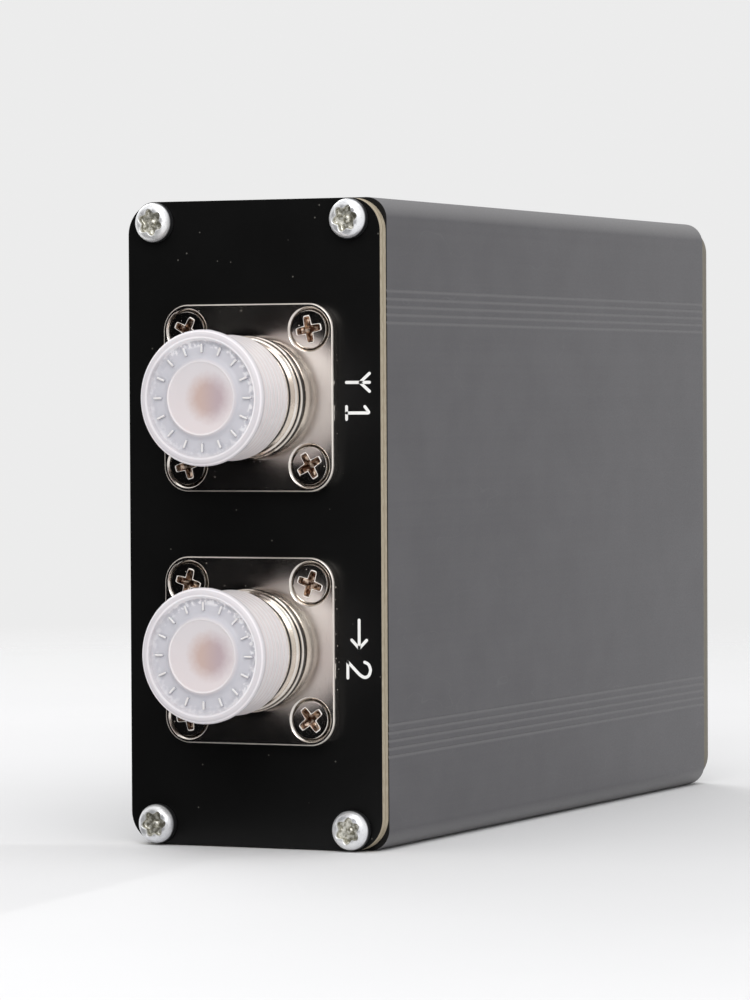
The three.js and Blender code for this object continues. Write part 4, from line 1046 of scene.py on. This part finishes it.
def tune_switch_body():
    """Block with a square bore for the stem, and a mould line round it."""
    rows = [(1.9, 0.2, 55.05), (1.9, 0.2, 60.7), (2.05, 0.25, 60.85), (4.0, 0.3, 60.85),
            (4.2, 0.4, 60.65), (4.2, 0.4, 54.6), (4.1, 0.4, 54.5), (4.1, 0.4, 54.3),
            (4.2, 0.4, 54.2), (4.2, 0.4, 48.05), (4.0, 0.3, 47.85)]
    return boxed(0, BUTTON_HEIGHT, [(half, half, radius, y) for half, radius, y in rows])


piece("tune_button_dished", tune_key(), BLACK_PLASTIC, "tune_button", "tune_key")
piece("tune_switch_moulded", tune_switch_body(), COMPONENT, "tune_switch")

# Display: a clear window, the dark glass in two layers, and its board with a pin header

glass = carried([rounded_box(-9.65, 9.65, 38.65, 65.35, 0.15, 3)], 63.45, 64.15, 0.06)
face_glass = carried([rounded_box(-9.1, 9.1, 40.0, 64.7, 0.15, 3)], 64.15, 64.85, 0.06)
display_holes = [hole(x, z, 1.0, 24) for z in (40.2, 63.8) for x in (12.3, -12.3)]
board = carried([rounded_box(-13.9, 13.9, 38.3, 65.7, 0.8, 6), *display_holes], 62.25, 63.45,
                0.05)
header = carried([rounded_box(BOARD_FACE, -1.7, 46.9, 57.1, 0.1, 2)], 59.7, 62.3, 0.05)
pin = [(0.2, 0.2, 0.05, 57.65), (0.32, 0.32, 0.05, 57.95), (0.32, 0.32, 0.05, 63.7),
       (0.2, 0.2, 0.05, 63.85)]
piece("display_glass_layers", glass + face_glass, DISPLAY_GLASS, "display_glass")
piece("display_board_drilled", board, LAMINATE, "display_board", smooth=40)
piece("display_header_body", header, COMPONENT)
piece("display_header_pins",
      [boxed(-2.95, z, pin)[0] for z in (48.2, 50.73, 53.27, 55.8)], TINNED)
own_material("display_window", WINDOW)


def jack_shell(sides=96):
    """Closed ring: bore, flange, threaded outside and the hole for the pin."""
    front = softened([(1.3, -12.0), (1.3, -8.5), (3.15, -8.5), (3.15, 1.25), (3.4, 1.5), (6.3, 1.5),
                      (6.8, 1.05), (6.8, 0.0), (5.25, 0.0), (5.1, -0.25)], 0.12, 3)
    y = np.linspace(-0.45, -11.65, 120)[:, None]
    thread = 5.25 + 0.15 * np.cos(TURN * y / JACK_PITCH + angles(sides))
    rows = [*front, *zip(thread, y), (5.1, -11.85), (4.9, -12.0), (1.5, -12.0)]
    return turned(rows, sides, CONTROL_FACE, z=JACK_HEIGHT, closed=True)


piece("dc_jack_shell", jack_shell(), BLACK_PLASTIC, "dc_jack_body")
jack_pin = softened([(0, 51.85), (0.85, 51.85), (1.05, 52.05), (1.05, 67.9), (0.95, 68.3),
                     (0.6, 68.55), (0, 68.55)], 0.1, 3)
piece("dc_jack_pin_round", turned(jack_pin, 32, z=JACK_HEIGHT), NICKEL, "dc_jack_pin")


def hex_nut(x, z, flats, bore, low, high, turn=0.0):
    """Six-sided nut: six corners between bevelled faces, round a plain bore."""
    corners = arc(x, z, flats / math.sqrt(3), turn, 1 + turn, 6)[:-1]
    outline = softened(corners, 0.25, 2, closed=True)
    return carried([outline, hole(x, z, bore, 36)], low, high, 0.25)


piece("dc_jack_nut_hex", hex_nut(0, JACK_HEIGHT, 13, 5.5, 63.65, 65.85), ZINC,
      "dc_jack_nut")
for side, height in SOCKET_HEIGHTS.items():
    nuts = [surface for i, (x, z) in enumerate(FLANGE_SCREW_OFFSETS) for surface in
            hex_nut(x, height + z, 5.5, 1.45, CASE_START, -51.75, 0.02 * i)]
    piece(f"{side}_flange_nuts", nuts, ZINC)


def curve(points, steps):
    """Smooth path through points: each span is a Catmull-Rom cubic of its four nearest ones."""
    points = np.asarray(points, float)
    path = np.concatenate([2 * points[:1] - points[1:2], points, 2 * points[-1:] - points[-2:-1]])
    a, b, c, d = (path[i:len(path) - 3 + i, None] for i in range(4))
    t = np.linspace(0, 1, steps, endpoint=False)[None, :, None]
    spans = b + 0.5 * t * (c - a + t * (2 * a - 5 * b + 4 * c - d + t * (3 * (b - c) + d - a)))
    return np.concatenate([spans.reshape(-1, 3), points[-1:]])


def status_lamp():
    bend = np.linspace(0, QUARTER, 10)
    dome = np.stack([1.5 * np.cos(bend), 67.55 + 1.5 * np.sin(bend)], -1)
    base = softened([(0, 64.65), (1.9, 64.65), (1.9, 65.65), (1.5, 65.65), (1.5, 66.5)], 0.1, 2)
    return turned([*base, *dome], 40, z=LAMP_HEIGHT)


piece("status_led_lens", status_lamp(), LENS, "status_led")
led_places = [LAMP_HEIGHT - 1.27, LAMP_HEIGHT + 1.27]
legs = [tube(curve([(0, 65, z), (0, 62.5, z), (0, 60.2, z), (-0.7, 59.5, z), (-3, 59.5, z),
                    (-6.3, 59.5, z)], 6), 0.26, (0, 0, 1)) for z in led_places]
piece("status_led_legs", legs, TINNED)


# Main board and the parts on it

COIL_Y, COIL_PITCH = 17.75, 1.9
CORE_INNER, CORE_HALF, CORE_GAP = 4.2, 2.35, 0.85
ROW_HEIGHTS = [15.0, 29.5, 44.0, 58.5, 73.0]
RELAY_STARTS = {**{f"inductor_relay_{i + 1}": (-9.65, z) for i, z in enumerate(ROW_HEIGHTS)},
                **{f"capacitor_relay_{i + 1}": (29.35, z) for i, z in enumerate(ROW_HEIGHTS)},
                "network_relay": (-27.65, 44.0)}
RELAY_PINS = [(1.6, -3.8), (1.6, 3.8), (6.4, -3.8), (6.4, 3.8), (13.9, 0.0)]
AIR_COILS = {1: (4, 15.0), 2: (5, 29.5)}


def main_board():
    outline = softened([(-36.15, 1.7), (46.85, 1.7), (46.85, 20.5), (60.85, 20.5), (60.85, 67.5),
                        (46.85, 67.5), (46.85, 86.3), (-36.15, 86.3)], 0.6, 3, closed=True)
    holes = [hole(-31.15, height, 1.1, 32) for height in SOCKET_HEIGHTS.values()]
    return carried([outline, *holes], BOARD_BACK, BOARD_FACE, 0.05, axis="x")


def relay_case(start, height):
    """Base plate, a seam, a drafted cover with rounded edges, and its vent in the top."""
    rows = [(7.5, 5.0, 0.4, -4.2), (7.6, 5.1, 0.5, -4.1), (7.6, 5.1, 0.5, -3.3),
            (7.45, 4.95, 0.4, -3.25), (7.45, 4.95, 0.4, -3.05), (7.75, 5.25, 0.6, -3.0),
            (7.65, 5.15, 0.6, 7.0), (7.55, 5.05, 0.6, 7.4), (7.2, 4.7, 0.4, 7.6),
            (6.6, 4.1, 0.3, 7.6), (6.5, 4.0, 0.3, 7.52)]
    y, z = start + 12.8, height + 2.4
    vent = carried([arc(y, z, 0.8, 0, 1, 20)[:-1], hole(y, z, 0.5, 20)], 7.4, 7.6, 0.04,
                   axis="x")
    return boxed(start + 7.75, height, rows, "x") + vent


def air_coil(turns, height):
    angle = np.linspace(0.5, 0.5 + turns, turns * 28 + 1) * TURN
    y = COIL_Y + COIL_PITCH * (np.linspace(0, turns, turns * 28 + 1) - turns / 2)
    helix = np.stack([1.2 + 4.2 * np.cos(angle), y, height + 4.2 * np.sin(angle)], -1)
    leg = np.array([[-5.9, 0, 0], [-4.6, 0, 0], [-3.6, 0, 0]])
    start, end = leg + helix[0] * (0, 1, 1), leg + helix[-1] * (0, 1, 1)
    return [tube(np.concatenate([start, helix[1:-1], end[::-1]]), 0.6, (0.05, 1, 0.02), 12)]


def toroid_core(outer, height):
    """Ring of powdered iron with rounded edges, lying about an upright axis."""
    section = softened([(outer, -CORE_HALF), (outer, CORE_HALF), (CORE_INNER, CORE_HALF),
                        (CORE_INNER, -CORE_HALF)], 0.9, 5, closed=True)
    radius, level = section.T[:, :, None] * np.ones(72)
    x = BOARD_FACE + outer + CORE_GAP + radius * np.cos(angles(72))
    y = COIL_Y + radius * np.sin(angles(72))
    return [gridded(np.stack([x, y, height + level], -1), wrap_rows=True)]


def powered(wave, power):
    """A wave's size raised to a power, with the wave's own sign."""
    return np.sign(wave) * np.abs(wave) ** power


def toroid_winding(outer, height, turns, wire=0.42):
    """Wire round the ring: a superellipse r = |cos t|^0.5, z = |sin t|^0.5 about the section's
    middle, while the angle round the ring grows, with both ends led down to the board."""
    t = np.linspace(0, turns, turns * 28 + 1)
    angle = TURN * (0.57 + 0.86 * t / turns)
    level = (CORE_HALF + wire) * powered(np.sin(TURN * t), 0.5)
    reach = (outer - CORE_INNER) / 2 + wire
    radius = (outer + CORE_INNER) / 2 + reach * powered(np.cos(TURN * t), 0.5)
    path = np.stack([BOARD_FACE + outer + CORE_GAP + radius * np.cos(angle),
                     COIL_Y + radius * np.sin(angle), height + level], -1)

    def led_down(end):
        return end + np.linspace(0, 1, 5)[:, None] * (-6.0 - end[0], 0, 0)

    path = np.concatenate([led_down(path[0] - (0.9, 0, 0))[::-1], path[1:-1],
                           led_down(path[-1] - (0.9, 0, 0))])
    return [tube(path, wire, (0.02, 0.03, 1), 8)]


def transformer_core():
    middle = BOARD_FACE + 3.75
    outline = rounded_box(BOARD_FACE, BOARD_FACE + 7.5, 20.4, 33.4, 2.5, 10)
    holes = [hole(middle, 26.9 + side * 3.25, 1.9, 40) for side in (-1, 1)]
    return carried([outline, *holes], -26.9, -12.9, 0.45)


def transformer_winding(turns=6):
    """Thin wire through both holes: y = |cos t|^0.25, z = |sin t|^0.5 about the core's middle."""
    t = np.linspace(0, turns, turns * 48 + 1)
    y = 7.5 * powered(np.cos(TURN * t), 0.25)
    z = (3.1 + 0.35 * np.cos(TURN * t / 3)) * powered(np.sin(TURN * t), 0.5)
    path = np.stack([-1.6 + 2.3 * t / turns, -19.9 + y, 26.9 + z], -1)
    return [tube(path, 0.3, (1, 0.02, 0.03), 8)]


def chip_body():
    rows = [(2.75, 8.65, 0.2, -4.0), (3.0, 8.9, 0.2, -2.95), (2.75, 8.65, 0.2, -1.95),
            (2.6, 8.5, 0.2, -1.8)]
    return boxed(51.6, 52, rows, "x", 4)


def chip_legs():
    """Gull-wing legs: one bent strip, copied along both sides."""
    line = softened([(-2.9, 2.9), (-2.9, 3.3), (-4.12, 3.45), (-4.12, 3.75)], 0.15, 2)
    off = beside(line)[1] * 0.08
    outline = np.concatenate([line - off, (line + off)[::-1]])
    leg = filled([wall(outline, -0.22, 0.22, 0.01, 1)], "z")
    return [surface for z in 52 + 1.27 * (np.arange(13) - 6) for sign in (1, -1) for surface in
            [(points * (1, sign, 1) + (0, 51.6, z), faces) for points, faces in leg]]


piece("main_board_drilled", main_board(), LAMINATE, "main_board", smooth=40)
for name, (start, height) in RELAY_STARTS.items():
    piece(f"{name}_case", relay_case(start, height), COMPONENT, name)
for number, (turns, height) in AIR_COILS.items():
    piece(f"inductor_{number}_winding", air_coil(turns, height), COPPER,
          f"inductor_{number}", smooth=60)
for number, outer, height, turns in [(3, 6.05, 44.0, 12), (4, 6.55, 58.5, 16), (5, 7.05, 73.0, 20)]:
    piece(f"inductor_{number}_core", toroid_core(outer, height), CORE,
          f"inductor_{number}", smooth=60)
    piece(f"inductor_{number}_winding", toroid_winding(outer, height, turns), COPPER, smooth=60)
piece("bridge_transformer_core", transformer_core(), FERRITE, "bridge_transformer")
piece("bridge_transformer_winding", transformer_winding(), COPPER, smooth=60)

LEAD_PATH = [(0, -47.35), (0, -45.7), (0, -44.15), (0, -41.2), (0, -38.08), (-1.26, -33.29),
             (-3.36, -31.40), (-4.2, -31.15), (-5.8, -31.15)]
for side, height in SOCKET_HEIGHTS.items():
    path = curve([(x, y, height) for x, y in LEAD_PATH], 8)
    piece(f"{side}_lead_sleeved", [tube(path, 0.78, (0, 0, 1), 20)], WIRE,
          f"{side}_lead", smooth=60)

piece("controller_chip_body", chip_body(), COMPONENT, "controller_chip")
piece("controller_chip_legs", chip_legs(), TINNED)

joint_places = [(start + y, height + z) for start, height in RELAY_STARTS.values()
                for y, z in RELAY_PINS]
joint_places += [(59.5, z) for z in led_places]
joint_places += [(-31.15, height) for height in SOCKET_HEIGHTS.values()]
joint_places += [(COIL_Y + side * COIL_PITCH * turns / 2, height)
                 for turns, height in AIR_COILS.values() for side in (-1, 1)]
joint = laid_over(turned([(0, -0.95), (0.3, -0.9), (0.42, -0.5), (0.7, -0.2), (1.15, 0.0),
                          (1.15, 0.02), (0, 0.02)], 20), BOARD_BACK)[0]
piece("board_solder_joints", [copies(joint, [(0, y, z) for y, z in joint_places])], TINNED,
      smooth=50)

points, faces = turned(softened([(0, -1.2), (2.9, -1.1), (3.4, -0.5), (3.4, 0.5), (2.9, 1.1),
                                 (0, 1.2)], 0.4, 3), 36)[0]
capacitor = points[:, [0, 2, 1]] * (1, 1, -1) + (0.6, 37.1, 0), faces
capacitor_heights = [22.25, 36.75, 51.25, 65.75, 81.5]
piece("network_capacitors", [copies(capacitor, [(0, 0, z) for z in capacitor_heights])], CERAMIC,
      smooth=50)
legs = [tube(curve([(x, 37.1 + side * out, z) for x, out in
                    [(-1.6, 1.4), (-2.8, 2.3), (-4, 2.5), (-6.2, 2.5)]], 5), 0.28, (0, 0, 1), 8)
        for z in capacitor_heights for side in (-1, 1)]
piece("network_capacitor_legs", legs, TINNED)

can = turned(softened([(0, 0.0), (3.0, 0.0), (3.15, 0.6), (2.95, 0.9), (3.15, 1.2), (3.15, 7.4),
                       (2.7, 7.8), (0, 7.75)], 0.15, 2), 40)
cans = [laid_over(can, BOARD_FACE + 0.1, -24, z)[0] for z in (77, 67)]
piece("supply_capacitors", cans, COMPONENT)
part = laid_over(boxed(0, 0, [(0.9, 0.55, 0.05, 0.0), (1.0, 0.63, 0.08, 0.06),
                              (1.0, 0.63, 0.08, 0.5), (0.9, 0.55, 0.05, 0.56)]), BOARD_FACE)[0]
rng = np.random.default_rng(7)
grid = np.array([(y, z) for y in (-15.5, -18.5) for z in np.arange(56, 84, 3.1)]
                + [(7.6, z) for z in (10, 13, 16, 24, 27, 31, 39, 42, 46, 53, 57, 61, 68, 71, 75)]
                + [(-33.3, z) for z in (10, 13, 16, 36, 39, 42, 45, 48, 70, 73, 76)])
grid += rng.uniform(-0.15, 0.15, grid.shape)
piece("small_board_parts", [copies(part, [(0, y, z) for y, z in grid])], COMPONENT)


# Camera, fitted to the photograph

def aimed(name, data, place, target, roll=0.0):
    """A camera or lamp that looks from one place to another, in metres, with its top upwards."""
    place, target = Vector(place), Vector(target)
    turn = (target - place).to_track_quat("-Z", "Y").to_matrix().to_4x4()
    made = set_down(name, data)
    made.matrix_world = Matrix.Translation(place) @ turn @ Matrix.Rotation(roll, 4, "Z")
    return made


def fitted_camera():
    """The camera stands 644 mm off the connector panel, 24.5 degrees round to the right."""
    data = bpy.data.cameras.new("camera")
    data.lens, data.sensor_width, data.sensor_fit = 172.6, 36, "AUTO"
    data.clip_start, data.clip_end = 0.05, 20
    bpy.context.scene.camera = aimed("camera", data, (0.28466, -0.64019, 0.06105),
                                     (0.0173, -0.05455, 0.0473), math.radians(-0.28))


def stage_sheet(name, points, finish):
    """A sheet of points in millimetres, set down as a mesh in the scene."""
    sheet = set_down(name, new_mesh(name, [gridded(points, wrap_columns=False)], finish))
    return sheet


def pale_floor():
    """Flat floor in its own pale colour, which fades out with the distance from the object, so
    that it has no edge against the pale surroundings."""
    finish, shader, place = new_finish("pale_floor", (220, 220, 221), 0.8)
    clouds = grouped(GRAIN, place, Scale=400.0)[1]
    reach = signal(place.tree, "VectorMath", {0: place}, "Value", operation="LENGTH")
    feed(shader, {"Base Color": layered((219, 219, 220), (clouds, (221, 221, 222))),
                  "Alpha": between(reach, 0.22, 0.6, 1.0, 0.0)})
    span = np.linspace(-700, 700, 15)
    x, y = np.meshgrid(span, span, indexing="ij")
    stage_sheet("floor", np.stack([x, y, np.zeros_like(x)], -1), finish)


def dark_card():
    """A low dark card round the front, with a dark mat at its foot. Only gloss sees it, so the
    black panel and the bright flanges mirror something dark, as in the photograph."""
    finish, shader, place = new_finish("dark_card", (12, 12, 13), 0.9, Specular_IOR_Level=0.0)
    clouds = grouped(GRAIN, place, Scale=300.0)[1]
    feed(shader, {"Base Color": layered((10, 10, 11), (clouds, (14, 14, 15)))})
    angle = np.linspace(math.radians(-68), math.radians(5), 25)
    profile = np.array([(20, 0.6), (400, 0.6), (420, 20), (430, 300)])
    radius, height = profile[:, 0, None], profile[:, 1, None] * np.ones_like(angle)
    points = np.stack([radius * np.sin(angle), -50 - radius * np.cos(angle), height], -1)
    card = stage_sheet("dark_card", points, finish)
    card.visible_camera = card.visible_diffuse = card.visible_shadow = False
    card.visible_transmission = card.visible_volume_scatter = False


def lamp(name, place, target, size, power):
    data = bpy.data.lights.new(name, "AREA")
    data.shape, data.size, data.size_y, data.energy = "RECTANGLE", *size, power
    aimed(name, data, place, target)


def studio_world():
    """Even pale surroundings, like a tent of white cloth."""
    world = bpy.data.worlds.new("studio")
    world.use_nodes = True
    tree = world.node_tree
    tree.nodes.clear()
    back = signal(tree, "Background", {"Color": (1, 1, 1, 1), "Strength": 0.84})
    put(tree, "OutputWorld", {"Surface": back})
    bpy.context.scene.world = world


fitted_camera()
pale_floor()
dark_card()
studio_world()
lamp("key", (0.32, -0.8, 0.62), (0, 0, 0.045), (0.8, 0.45), 4.5)
lamp("top", (0.1, 0, 0.95), (0, 0, 0.045), (0.7, 0.7), 1.5)
lamp("rim", (-0.6, 0.55, 0.5), (0, 0, 0.05), (0.5, 0.4), 2)
bpy.context.scene.view_settings.view_transform = "Standard"
